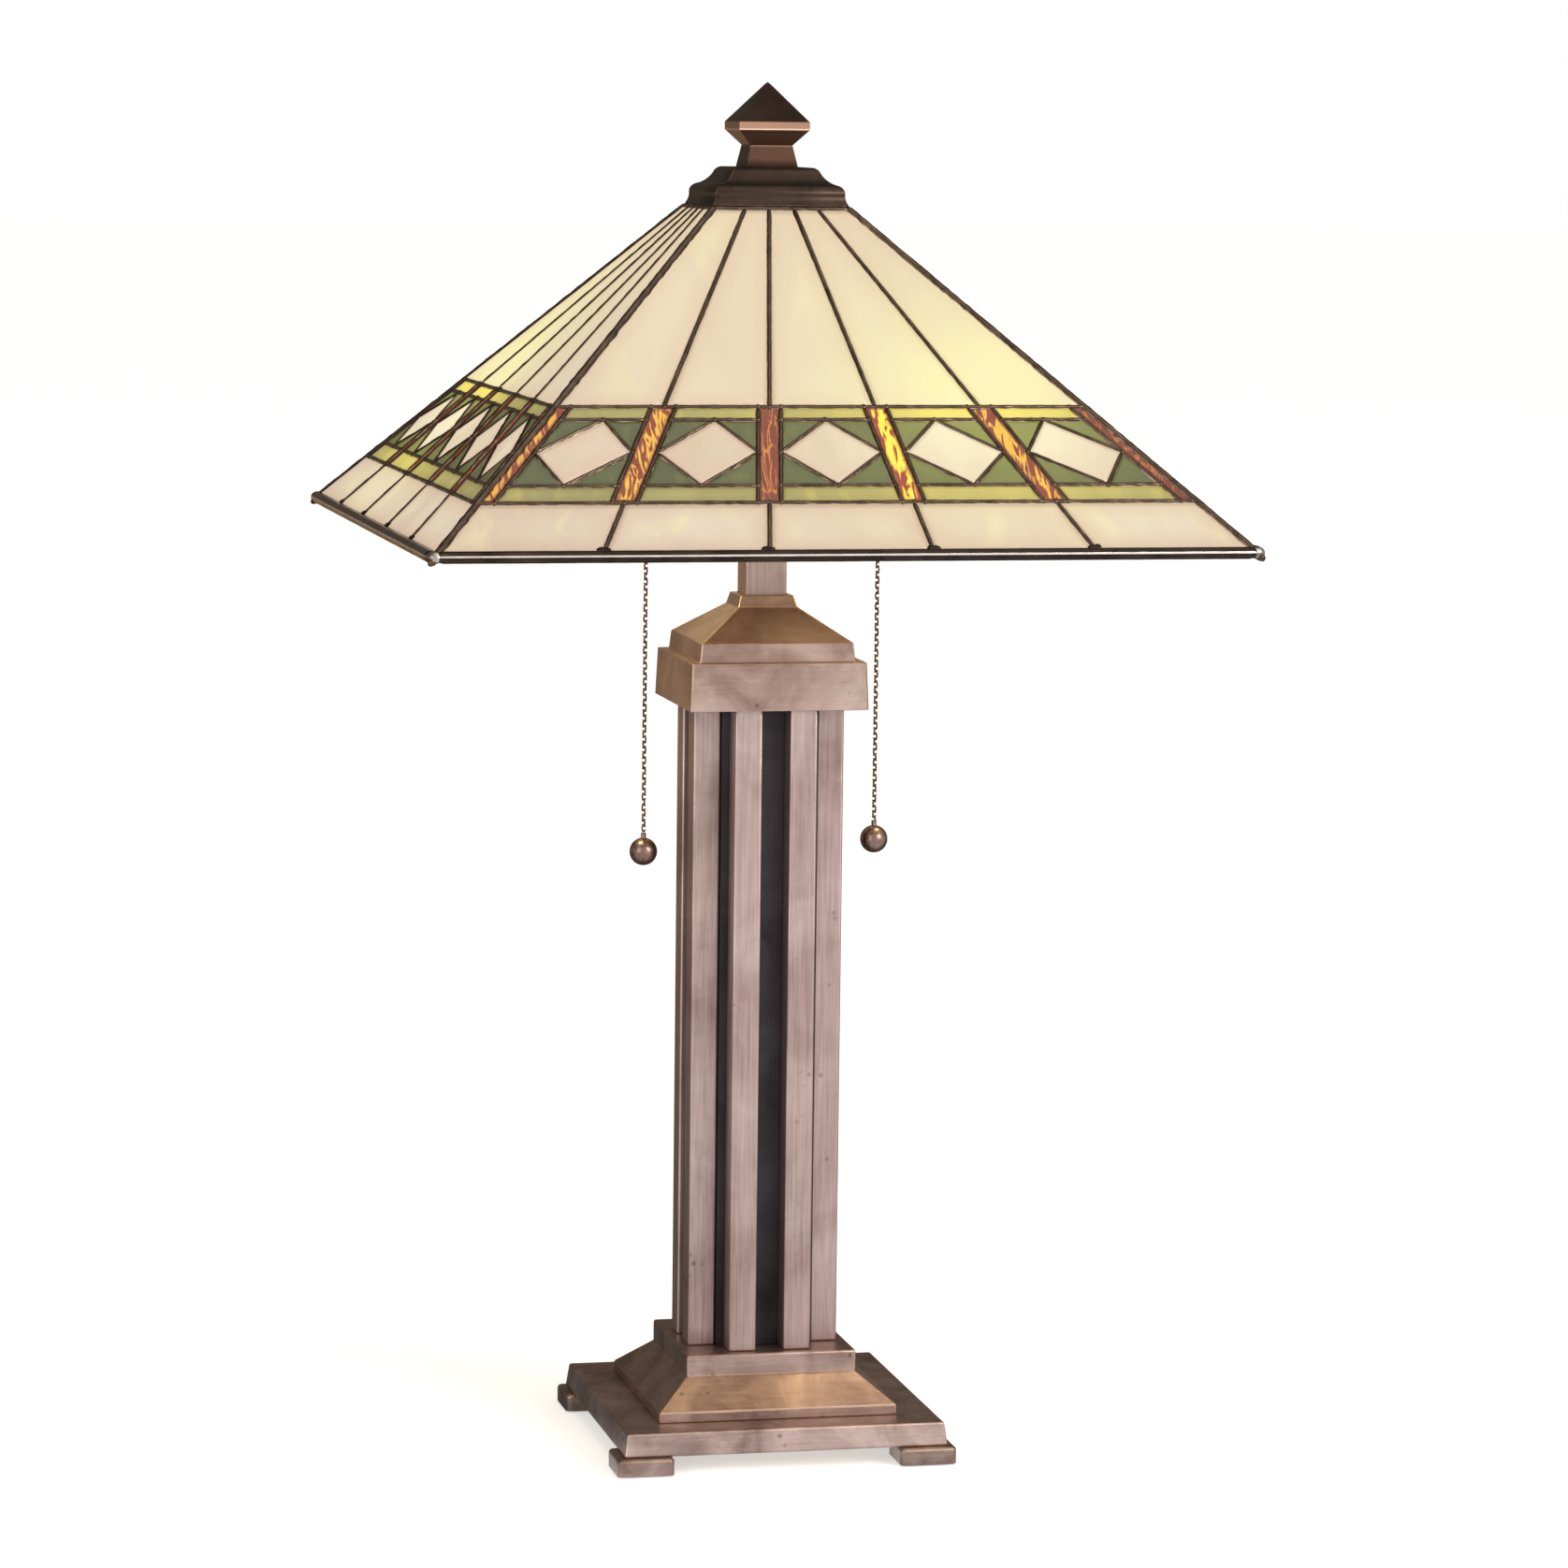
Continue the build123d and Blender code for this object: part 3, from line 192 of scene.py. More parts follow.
def world_light():
    """White behind the lamp. Its metal reflects a room that is bright in front, dark behind, warm above."""
    world = bpy.data.worlds.new("studio")
    scene.world = world
    world.use_nodes = True
    tree = world.node_tree
    tree.nodes.clear()
    make = tree.nodes.new
    link = tree.links.new
    split = make("ShaderNodeSeparateXYZ")
    link(make("ShaderNodeTexCoord").outputs["Generated"], split.inputs["Vector"])

    def spread(axis, low, high, to_low, to_high):
        made = make("ShaderNodeMapRange")
        link(split.outputs[axis], made.inputs["Value"])
        for name, number in zip(RANGE_SOCKETS, (low, high, to_low, to_high)):
            made.inputs[name].default_value = number
        return made.outputs["Result"]

    strength = make("ShaderNodeMath")
    strength.operation = "MULTIPLY"
    link(spread("Z", 0.0, 0.9, 1.0, CEILING_SHARE), strength.inputs[0])
    link(spread("Y", -0.6, 0.75, 1.0, BACK_SHARE), strength.inputs[1])
    warmth = make("ShaderNodeMath")
    warmth.operation = "MAXIMUM"
    link(spread("Z", 0.1, 0.9, 0.0, 1.0), warmth.inputs[0])
    link(spread("Y", -0.2, 0.75, 0.0, 1.0), warmth.inputs[1])
    tint = make("ShaderNodeMix")
    tint.data_type = "RGBA"
    tint.inputs[6].default_value = (*HORIZON_TINT, 1)
    tint.inputs[7].default_value = (*CEILING_TINT, 1)
    link(warmth.outputs[0], tint.inputs["Factor"])
    room = make("ShaderNodeBackground")
    link(tint.outputs[2], room.inputs["Color"])
    link(strength.outputs[0], room.inputs["Strength"])
    white = make("ShaderNodeBackground")
    white.inputs["Color"].default_value = (1, 1, 1, 1)
    seen = make("ShaderNodeLightPath")
    choose = make("ShaderNodeMixShader")
    link(seen.outputs["Is Camera Ray"], choose.inputs["Fac"])
    link(room.outputs[0], choose.inputs[1])
    link(white.outputs[0], choose.inputs[2])
    link(choose.outputs[0], make("ShaderNodeOutputWorld").inputs["Surface"])


def area_light(name, place, size, energy, colour):
    """A soft square light aimed at the lamp."""
    light = bpy.data.lights.new(name, "AREA")
    light.size = size
    light.energy = energy
    light.color = colour
    holder = bpy.data.objects.new(name, light)
    scene.collection.objects.link(holder)
    turn = (Vector(LIGHT_AIM) - Vector(place)).to_track_quat("-Z", "Y")
    holder.matrix_world = Matrix.Translation(place) @ turn.to_matrix().to_4x4()


def studio():
    world_light()
    area_light("key", place=(1.7, -2.3, 1.5), size=1.3, energy=42, colour=(1.0, 0.97, 0.93))
    area_light("fill", place=(-2.2, -1.9, 1.0), size=1.6, energy=18, colour=(1.0, 0.97, 0.92))
    sun = bpy.data.lights.new("ceiling", "SUN")
    sun.energy = CEILING_POWER
    sun.angle = CEILING_SPREAD
    holder = bpy.data.objects.new("ceiling", sun)
    holder.rotation_euler = CEILING_TURN
    scene.collection.objects.link(holder)

    floor()


def floor():
    """Pale paper. What the metal sees of it is dark behind the lamp, and dim and warm far behind."""
    paper = Shader("floor_paper")
    grain = paper.noise(paper.place(), 60, 4)
    tone = paper.mix(grain, linear(243, 242, 240), linear(248, 247, 246))
    paper.set(Base_Color=tone, Roughness=0.9)
    paper.set(Emission_Color=FLOOR_GLOW_TINT, Emission_Strength=FLOOR_GLOW)
    paper.surface.inputs["Specular IOR Level"].default_value = 0.1
    reflected = paper.node("ShaderNodeEmission")
    where = paper.node("ShaderNodeSeparateXYZ")
    paper.link(paper.place(), where.inputs["Vector"])
    shade = paper.range(where.outputs["Y"], -0.12, 0.06, FLOOR_FRONT, FLOOR_BACK)
    near = paper.mix(1.0, FLOOR_NEAR_TINT, shade, "MULTIPLY")
    distance = paper.range(where.outputs["Y"], 0.6, 2.6)
    paper.link(paper.mix(distance, near, FLOOR_FAR_TINT), reflected.inputs["Color"])
    choose = paper.node("ShaderNodeMixShader")
    paper.link(paper.node("ShaderNodeLightPath").outputs["Is Glossy Ray"], choose.inputs["Fac"])
    paper.link(paper.surface.outputs["BSDF"], choose.inputs[1])
    paper.link(reflected.outputs["Emission"], choose.inputs[2])
    paper.link(choose.outputs[0], paper.tree.nodes["Material Output"].inputs["Surface"])
    mesh = bpy.data.meshes.new("floor")
    corners = [(-FLOOR_REACH, -FLOOR_REACH, 0), (FLOOR_REACH, -FLOOR_REACH, 0)]
    corners += [(FLOOR_REACH, FLOOR_REACH, 0), (-FLOOR_REACH, FLOOR_REACH, 0)]
    mesh.from_pydata(corners, [], [(0, 1, 2, 3)])
    mesh.materials.append(paper.material)
    made = bpy.data.objects.new("floor", mesh)
    scene.collection.objects.link(made)
    return made


studio()


# ---------------------------------------------------------------- metals and small materials
# The rest of each metal's colour is its tarnish, which is dull.
METAL_SHARE = 0.92
METAL_RELIEF = 0.12 * MM
GRAIN_SCALE = 900
FINE_SCALE = 260
PIT_SCALE = 160


def bronze(name, dark, pale, roughness, brushed=(1, 1, 1), patches=18, pits=0.35, height_bands=(), brush=0.12):
    """Antiqued metal: brushed grain, cloudy tarnish, casting pits, and bands of height painted a colour,
    which stand for wear and for painted light.

    Each band is (low, high, softness, colour). brush is how much the grain shows.
    """
    shader = Shader(name)
    grain = shader.noise(shader.place(brushed), GRAIN_SCALE, 5, 0.6)
    clouds = shader.noise(shader.place(), patches, 5, 0.6, 0.6)
    fine = shader.noise(shader.place(), FINE_SCALE, 3)
    brushing = shader.range(grain, 0.3, 0.7, -0.4 * brush, brush)
    share = shader.math("ADD", shader.range(clouds, 0.3, 0.7, 0, 0.8), brushing)
    colour = shader.mix(share, dark, pale)
    for low, high, soft, band_colour in height_bands:
        where = shader.node("ShaderNodeSeparateXYZ")
        shader.link(shader.place(), where.inputs["Vector"])
        above = shader.range(where.outputs["Z"], low - soft, low + soft)
        below = shader.range(where.outputs["Z"], high - soft, high + soft, 1, 0)
        patchy = shader.range(clouds, 0.2, 0.6, 0.6, 1)
        band_share = shader.math("MULTIPLY", shader.math("MULTIPLY", above, below), patchy)
        colour = shader.mix(band_share, colour, band_colour)
    pit_noise = shader.node("ShaderNodeTexVoronoi", feature="F1")
    pit_noise.inputs["Scale"].default_value = PIT_SCALE
    shader.link(shader.place(), pit_noise.inputs["Vector"])
    pit_gate = shader.range(shader.noise(shader.place(), 45, 2), 0.58, 0.7)
    pit = shader.math("MULTIPLY", shader.range(pit_noise.outputs["Distance"], 0.1, 0.24, 1, 0), pit_gate)
    colour = shader.mix(shader.math("MULTIPLY", pit, 0.6), colour, tuple(c * 0.25 for c in dark))
    height = shader.math("SUBTRACT", shader.math("ADD", grain, shader.math("MULTIPLY", fine, 0.5)), pit)
    shader.bump(height, pits, METAL_RELIEF)
    rough = shader.range(clouds, 0.3, 0.7, roughness + 0.08, roughness - 0.06)
    return shader.set(Base_Color=colour, Metallic=METAL_SHARE, Roughness=rough)


def metal_materials():
    upright = (1, 1, 0.03)
    level = (0.05, 0.05, 1)
    even = (1, 1, 1)
    low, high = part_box("finial")
    tall = high.z - low.z
    # Bands up the finial over its dark bronze: a mid-brown foot, the downward-facing underside of its
    # widest part painted lighter (painted light), the band a lighter copper, and a thin painted highlight
    # along the band's lower edge.
    finial_painted_bands = (
        (low.z + 0.06 * tall, low.z + 0.25 * tall, 1.5 * MM, linear(86, 62, 50)),
        (low.z + 0.25 * tall, low.z + 0.42 * tall, 1.0 * MM, linear(158, 120, 98)),
        (low.z + 0.42 * tall, low.z + 0.53 * tall, 0.3 * MM, linear(176, 138, 114)),
        (low.z + 0.43 * tall, low.z + 0.45 * tall, 0.3 * MM, linear(244, 214, 190)),
    )
    made = {
        "bar": bronze(
            "brushed_bar_bronze", linear(138, 115, 110), linear(202, 181, 176), 0.4, upright, 14, brush=0.3
        ),
        "bar_edge": bronze(
            "worn_bar_edge", linear(160, 130, 120), linear(218, 194, 186), 0.3, upright, brush=0.3
        ),
        "casting": bronze("cast_bronze", linear(142, 117, 108), linear(204, 181, 172), 0.38, level, 34),
        "casting_edge": bronze(
            "worn_casting_edge", linear(150, 120, 103), linear(206, 178, 160), 0.3, level
        ),
        "plinth": bronze("plinth_bronze", linear(118, 95, 86), linear(200, 175, 166), 0.34, level, 34),
        "plate": bronze("plate_bronze", linear(120, 98, 92), linear(214, 191, 183), 0.34, level, 34),
        "foot": bronze("foot_bronze", linear(98, 78, 69), linear(196, 172, 162), 0.36, level, 40),
        # The column's core between its bars, coloured near-black.
        "recess": bronze("near_black_core", linear(40, 38, 42), linear(74, 70, 74), 0.46, upright),
        "dark": bronze("dark_bronze", linear(46, 36, 31), linear(76, 62, 52), 0.38, level, 24, 0.2),
        "dark_edge": bronze("worn_dark_edge", linear(74, 56, 47), linear(112, 88, 74), 0.3, level),
        "finial": bronze(
            "finial_bronze", linear(34, 23, 20), linear(54, 39, 32), 0.32, level, height_bands=finial_painted_bands
        ),
        "lead": bronze("solder_lead", linear(56, 46, 38), linear(114, 96, 80), 0.22, even, 90, 0.6),
        "rim": bronze("rim_lead", linear(32, 26, 23), linear(70, 58, 50), 0.16, even, 60, 0.1),
        "solder": bronze("corner_solder", linear(84, 74, 66), linear(214, 206, 200), 0.22, even, 260, 0.8),
        # A painted highlight along the rim's outermost faces.
        "rim_line": bronze(
            "painted_rim_highlight", linear(196, 184, 174), linear(244, 240, 236), 0.2, even, 120, 0.1
        ),
        # Copper foil's edge, coloured pale as a painted highlight along each seam.
        "foil": bronze(
            "foil_edge_and_highlight", linear(136, 108, 92), linear(214, 190, 172), 0.3, even, 140, 0.3
        ),
        "brass": bronze("socket_brass", linear(150, 110, 55), linear(196, 158, 92), 0.3, level),
        "chain": bronze("chain_brass", linear(58, 40, 24), linear(146, 112, 72), 0.3, even, 300),
        "ball": bronze("ball_bronze", linear(100, 80, 72), linear(194, 166, 153), 0.26, even, 90),
        "steel": bronze("zinc_steel", linear(120, 120, 118), linear(178, 178, 174), 0.36, level),
        "iron": bronze("weight_iron", linear(52, 50, 48), linear(84, 80, 76), 0.6, even, 60),
        "lamp_cap": bronze("lamp_cap_metal", linear(168, 166, 158), linear(206, 204, 198), 0.28, level),
    }
    return made


def fabric(name, dark, pale, scale, roughness, height):
    """Felt, fibre board or plastic: speckled colour and a matching bump."""
    shader = Shader(name)
    fibres = shader.noise(shader.place(), scale, 6, 0.7, 0.8)
    shader.bump(fibres, 0.6, height)
    colour = shader.mix(shader.range(fibres, 0.3, 0.7), dark, pale)
    rough = shader.range(fibres, 0.3, 0.7, roughness, roughness - 0.12)
    return shader.set(Base_Color=colour, Roughness=rough)


def bulb_glass():
    """Frosted glass, lit from inside, a little uneven in warmth."""
    shader = Shader("frosted_bulb")
    frost = shader.noise(shader.place(), 220, 3)
    colour = shader.mix(shader.range(frost, 0.3, 0.7), (1.0, 0.72, 0.38), (1.0, 0.82, 0.52))
    return shader.set(
        Base_Color=(0.92, 0.88, 0.8), Roughness=0.35, Emission_Color=colour, Emission_Strength=15.0
    )


METAL = metal_materials()
FELT = fabric("felt_green_black", linear(26, 30, 26), linear(52, 56, 48), 900, 0.95, 0.3 * MM)
FIBRE = fabric("fibre_liner", linear(120, 92, 60), linear(166, 134, 96), 500, 0.85, 0.1 * MM)
PLASTIC = fabric("moulded_plastic", linear(24, 22, 22), linear(36, 34, 33), 700, 0.5, 0.05 * MM)
BULB = bulb_glass()


CAD_WELD = 0.002 * MM


def finish_node(node, material, edge=None, width=0.0, segments=3, angle=28):
    """Gives a CAD node its material, and rounds its corners with a worn edge if a width is given."""
    piece = NODES[node]
    piece.data.materials.clear()
    piece.data.materials.append(material)
    piece.data.materials.append(edge or material)
    if width:
        weld = piece.modifiers.new("weld", "WELD")
        weld.merge_threshold = CAD_WELD
        bevel = piece.modifiers.new("worn_edges", "BEVEL")
        bevel.limit_method = "ANGLE"
        bevel.angle_limit = math.radians(angle)
        bevel.width = width
        bevel.segments = segments
        bevel.material = 1
        bevel.harden_normals = True
        bevel.use_clamp_overlap = True
    return piece


def metal_nodes():
    m = METAL
    for face in FACES:
        finish_node(f"column_bars_{face}", m["bar"], m["bar_edge"], 0.25 * MM)
    finish_node("column_core", m["recess"], m["recess"], 0.3 * MM)
    finish_node("capital", m["casting"], m["casting_edge"], 0.9 * MM)
    finish_node("neck_tube", m["bar"], m["bar_edge"], 0.2 * MM)
    finish_node("plinth", m["plinth"], m["casting_edge"], 0.8 * MM)
    finish_node("base_plate", m["plate"])
    finish_node("feet", m["foot"])
    finish_node("shade_cap", m["dark"], m["dark_edge"], 0.5 * MM, 3, 35)
    finish_node("finial", m["finial"], m["dark_edge"], 0.5 * MM)
    for node in ("foot_screws", "base_washer", "base_nut", "cluster_nuts", "seat_nut", "riser_pipe"):
        finish_node(node, m["steel"])
    for node in ("upper_rod", "socket_nipples", "shade_seat"):
        finish_node(node, m["steel"])
    for node in ("cluster_body", "socket_caps", "chain_spouts"):
        finish_node(node, m["brass"])
    for side in SIDES:
        finish_node(f"socket_shell_{side}", m["brass"])
        finish_node(f"switch_stem_{side}", m["chain"])
        finish_node(f"bulb_base_{side}", m["lamp_cap"])
        finish_node(f"bulb_glass_{side}", BULB)
        finish_node(f"pull_ball_{side}", m["ball"])
    finish_node("screw_shells", m["brass"])
    finish_node("finial_insert", m["brass"])
    finish_node("base_weight", m["iron"], m["iron"], 0.4 * MM)
    finish_node("felt_pads", FELT)
    finish_node("bottom_cover", FIBRE)
    finish_node("socket_liners", FIBRE)
    finish_node("cord_bushing", PLASTIC)
    finish_node("socket_interiors", PLASTIC)


metal_nodes()


# ---------------------------------------------------------------- mesh kit
MESH_WELD = 0.004 * MM


class Mesh:
    """Points and faces gathered from several shapes, with named values on the points."""

    def __init__(self):
        self.points = []
        self.faces = []
        self.values = {}
        self.finish = 0
        self.finishes = []

    def grid(self, rows, closed=False, capped=False):
        """Faces over a list of equally long rows of points."""
        start = len(self.points)
        width = len(rows[0])
        for row in rows:
            self.points.extend(row)
        for i in range(len(rows) - 1):
            for j in range(width if closed else width - 1):
                a = start + i * width + j
                b = start + i * width + (j + 1) % width
                self.faces.append((a, b, b + width, a + width))
        if capped:
            self.faces.append(tuple(range(start + width - 1, start - 1, -1)))
            last = start + (len(rows) - 1) * width
            self.faces.append(tuple(range(last, last + width)))
        self.finishes.extend([self.finish] * (len(self.faces) - len(self.finishes)))

    def bead(self, path, side, up, half_width, half_height, wobble, seed, around=10):
        """A rounded seam along a path, as uneven as solder runs. side and up are its section's axes."""
        rows = []
        count = len(path)
        for i, point in enumerate(path):
            spot = Vector((seed * 7.3, point.length * 310, i * 0.05))
            swell = 1 + wobble * noise.noise(spot * 0.55 + Vector((point.x, point.y, point.z)) * 260)
            sway = noise.noise(Vector((seed * 3.1 + 40, point.x * 190, point.z * 190)))
            drift = 0.35 * wobble * half_width * sway
            end = min(i, count - 1 - i)
            taper = (0.45, 0.8, 1.0)[min(end, 2)]
            row = []
            for k in range(around):
                turn = 2 * math.pi * k / around
                across = side * (math.cos(turn) * half_width * swell * taper + drift)
                lift = math.sin(turn) * half_height * (0.5 + 0.5 * swell) * taper
                row.append(point + across + up * lift)
            rows.append(row)
        self.grid(rows, closed=True, capped=True)

    def blob(self, centre, side, along, up, radius, height, seed, rings=7, around=12):
        """A puddle of solder: a flattened drop with an uneven outline."""
        rows = []
        for i in range(1, rings):
            polar = math.pi * i / rings
            row = []
            for k in range(around):
                turn = 2 * math.pi * k / around
                uneven = 1 + 0.22 * noise.noise(Vector((math.cos(turn) * 1.3, math.sin(turn) * 1.3, seed)))
                flat = side * math.cos(turn) + along * math.sin(turn)
                spread = flat * (radius * uneven * math.sin(polar))
                row.append(centre + spread - up * (height * math.cos(polar)))
            rows.append(row)
        self.grid(rows, closed=True, capped=True)

    def object(self, name, *materials, weld=False):
        """The gathered mesh as a new object with smooth shading."""
        mesh = bpy.data.meshes.new(name)
        mesh.from_pydata([tuple(p) for p in self.points], [], self.faces)
        for key, values in self.values.items():
            if isinstance(values[0], tuple):
                flat = [number for value in values for number in value]
                mesh.attributes.new(key, "FLOAT_VECTOR", "POINT").data.foreach_set("vector", flat)
            else:
                mesh.attributes.new(key, "FLOAT", "POINT").data.foreach_set("value", values)
        if any(self.finishes):
            mesh.polygons.foreach_set("material_index", self.finishes)
        edit = bmesh.new()
        edit.from_mesh(mesh)
        if weld:
            bmesh.ops.remove_doubles(edit, verts=edit.verts, dist=MESH_WELD)
        bmesh.ops.recalc_face_normals(edit, faces=edit.faces)
        edit.to_mesh(mesh)
        edit.free()
        for material in materials:
            mesh.materials.append(material)
        for face in mesh.polygons:
            face.use_smooth = True
        made = bpy.data.objects.new(name, mesh)
        scene.collection.objects.link(made)
        return made


# ---------------------------------------------------------------- the shade's layout, read off its panes
PANE_KINDS = ("cream_upper", "cream_lower", "light_green", "dark_green", "diamond", "amber")
SHADE_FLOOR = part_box("shade_rim")[0].z
CAP_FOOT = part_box("shade_cap")[0].z
GLASS_DROP = 0.3 * MM
GLASS_THICKNESS = 2.0 * MM
GLASS_UNDERLAP = 0.5 * MM
HALF_LEAD = 0.95 * MM
SEAM_DEPTH = 1.2 * MM


class Face:
    """One side of the shade. u runs along it and v up its slope, on the panes' outer plane."""

    def __init__(self, angle, normal, point):
        self.angle = angle
        self.normal = normal
        self.side = Vector((-math.sin(math.radians(angle)), math.cos(math.radians(angle)), 0))
        self.slope = normal.cross(self.side)
        out = Vector((math.cos(math.radians(angle)), math.sin(math.radians(angle)), 0))
        distance = normal.dot(point)
        self.foot = out * ((distance - normal.z * SHADE_FLOOR) / normal.dot(out)) + UP * SHADE_FLOOR
        self.half_bottom = out.dot(self.foot)
        self.panes = []

    def flat(self, point):
        local = point - self.foot
        return (local.dot(self.side), local.dot(self.slope))

    def solid(self, u, v, lift=0.0):
        return self.foot + self.side * u + self.slope * v + self.normal * lift

    def hip_u(self, v):
        """Half the face's width at height v."""
        return self.half_bottom - abs(self.normal.z) * v


def islands(node):
    """The outer face of each separate solid in a CAD node, as (corners, normal)."""
    work = bmesh.new()
    work.from_mesh(NODES[node].data)
    bmesh.ops.remove_doubles(work, verts=work.verts, dist=0.001 * MM)
    bmesh.ops.dissolve_limit(work, angle_limit=0.01, verts=work.verts, edges=work.edges)
    found = []
    for face in work.faces:
        centre = face.calc_center_median()
        outward = face.normal.x * centre.x + face.normal.y * centre.y
        if face.normal.z > 0.5 and outward > 0:
            found.append(([vertex.co.copy() for vertex in face.verts], face.normal.copy()))
    work.free()
    return found


def read_faces():
    faces = {}
    for kind in PANE_KINDS:
        for corners, normal in islands(f"{kind}_panes"):
            angle = round(math.degrees(math.atan2(normal.y, normal.x)) / 90) * 90 % 360
            if angle not in faces:
                faces[angle] = Face(angle, normal, corners[0])
            face = faces[angle]
            outline = [face.flat(corner) for corner in corners]
            area = sum(a[0] * b[1] - b[0] * a[1] for a, b in zip(outline, outline[1:] + outline[:1]))
            face.panes.append((kind, outline if area > 0 else outline[::-1]))
    return {name: faces[angle % 360] for name, angle in FACES.items()}


SHADE = read_faces()


def grown(outline, amount):
    """A convex outline with every side moved outwards."""
    lines = []
    for (ax, ay), (bx, by) in zip(outline, outline[1:] + outline[:1]):
        length = math.hypot(bx - ax, by - ay)
        nx, ny = (by - ay) / length, -(bx - ax) / length
        lines.append((nx, ny, nx * ax + ny * ay + amount))
    corners = []
    for i, (a2, b2, c2) in enumerate(lines):
        a1, b1, c1 = lines[i - 1]
        det = a1 * b2 - a2 * b1
        corners.append(((c1 * b2 - c2 * b1) / det, (a1 * c2 - a2 * c1) / det))
    return corners


# ---------------------------------------------------------------- glass panes
# The shade glows most at the front right and the back left.
GLOW_TURN = -42.0
GLOW_REACH = 0.100
GLOW_Z = (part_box("bulb_glass_left")[0].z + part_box("bulb_glass_left")[1].z) / 2
GLOW_NEAREST = 0.062
# How far from its leads a pane's colour still changes.
EDGE_REACH = 12 * MM
# Light in each amber bar, from the left hip to the right hip.
AMBER_LIGHT = (0.32, 0.38, 0.16, 0.76, 0.4, 0.04)
# Amber bars on the left and right faces keep this share of their painted light.
AMBER_SIDE_SHARE = 0.1
SHADED_FACES = (FACES["left"], FACES["back"])


def glow_at(point, normal):
    """How strongly the bulbs light the back of the glass, 1 at the brightest."""
    total = 0.0
    for turn in (GLOW_TURN, GLOW_TURN + 180):
        away = Vector((math.cos(math.radians(turn)), math.sin(math.radians(turn)), 0)) * GLOW_REACH
        ray = point - (away + UP * GLOW_Z)
        total += (GLOW_NEAREST / ray.length) ** 2 * max(0.0, ray.normalized().dot(normal))
    return min(1.0, total)


def pane_mesh(target, face, kind, outline, seed, step, ripple, ripple_scale):
    """One pane as a closed plate with a slightly uneven surface."""
    shape = grown(outline, GLASS_UNDERLAP)
    while len(shape) < 4:
        shape.append(shape[-1])
    a, b, c, d = (Vector(corner) for corner in shape)
    across = max(2, round(max((b - a).length, (c - d).length) / step))
    along = max(2, round(max((d - a).length, (c - b).length) / step))
    edges = list(zip(outline, outline[1:] + outline[:1]))
    outer, inner = [], []
    for j in range(along + 1):
        left, right = a.lerp(d, j / along), b.lerp(c, j / along)
        outer_row, inner_row = [], []
        for i in range(across + 1):
            u, v = left.lerp(right, i / across)
            rim = min(i, j, across - i, along - j) == 0
            wave = noise.noise(Vector((u * ripple_scale, v * ripple_scale * 0.6, seed * 3.7)))
            lift = -GLASS_DROP + (0.0 if rim else ripple * wave)
            outer_row.append(face.solid(u, v, lift))
            inner_row.append(face.solid(u, v, -GLASS_DROP - GLASS_THICKNESS))
            distance = min(
                ((bx - ax) * (v - ay) - (by - ay) * (u - ax)) / math.hypot(bx - ax, by - ay)
                for (ax, ay), (bx, by) in edges
            )
            glow = glow_at(outer_row[-1], face.normal)
            if kind == "amber":
                glow = amber_light(face, u)
            target["edge"].append(max(0.0, min(1.0, distance / EDGE_REACH)))
            target["glow"].append(glow)
            target["sheet"].append((u, v, seed * 0.37))
            target["shaded"].append(GLOW_IN_SHADE if face.angle in SHADED_FACES else 0.0)
        outer.append(outer_row)
        inner.append(inner_row)
    return outer, inner, across + 1


def amber_light(face, u):
    """The light in the amber bar nearest to u on its face."""
    ambers = [outline for kind, outline in face.panes if kind == "amber"]
    bars = sorted(sum(corner[0] for corner in outline) / 4 for outline in ambers)
    nearest = min(range(len(bars)), key=lambda i: abs(bars[i] - u))
    share = 1.0 if face.angle in (90, 270) else AMBER_SIDE_SHARE
    return AMBER_LIGHT[nearest] * share


def glass_piece(kind, material, step, ripple, ripple_scale):
    """All panes of one kind, as one piece that stands for their CAD node."""
    mesh = Mesh()
    mesh.values = {"edge": [], "glow": [], "sheet": [], "shaded": []}
    seed = 0
    for face in SHADE.values():
        for found, outline in face.panes:
            if found != kind:
                continue
            seed += 1
            start = len(mesh.points)
            outer, inner, width = pane_mesh(
                mesh.values, face, kind, outline, seed, step, ripple, ripple_scale
            )
            height = len(outer)
            mesh.grid(outer)
            for key in mesh.values:
                mesh.values[key].extend(mesh.values[key][start : start + width * height])
            low = len(mesh.points)
            mesh.grid([row[::-1] for row in inner])
            for key in mesh.values:
                values = mesh.values[key][low : low + width * height]
                rows = [values[i * width : (i + 1) * width][::-1] for i in range(height)]
                mesh.values[key][low : low + width * height] = [value for row in rows for value in row]
            border = (
                [(0, i) for i in range(width - 1)]
                + [(j, width - 1) for j in range(height - 1)]
                + [(height - 1, i) for i in range(width - 1, 0, -1)]
                + [(j, 0) for j in range(height - 1, 0, -1)]
            )
            for (j1, i1), (j2, i2) in zip(border, border[1:] + border[:1]):
                top1, top2 = start + j1 * width + i1, start + j2 * width + i2
                bottom1 = low + j1 * width + (width - 1 - i1)
                bottom2 = low + j2 * width + (width - 1 - i2)
                mesh.faces.append((top2, top1, bottom1, bottom2))
    piece = mesh.object(f"{kind}_glass", material, weld=True)
    for polygon in piece.data.polygons:
        polygon.use_smooth = polygon.area > 0 and abs(polygon.normal.z) > 0.3
    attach(piece, "shade")
    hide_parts(f"{kind}_panes")
    return piece


# Share of a pane's colour that comes from the room's light, and from the bulbs far off and near by.
GLASS_ALBEDO = 0.45
GLOW_FAR = 0.36
GLOW_NEAR = 0.44
# The sides away from the room's light show more of the bulbs': extra painted glow on the left and back
# faces.
GLOW_IN_SHADE = 0.3


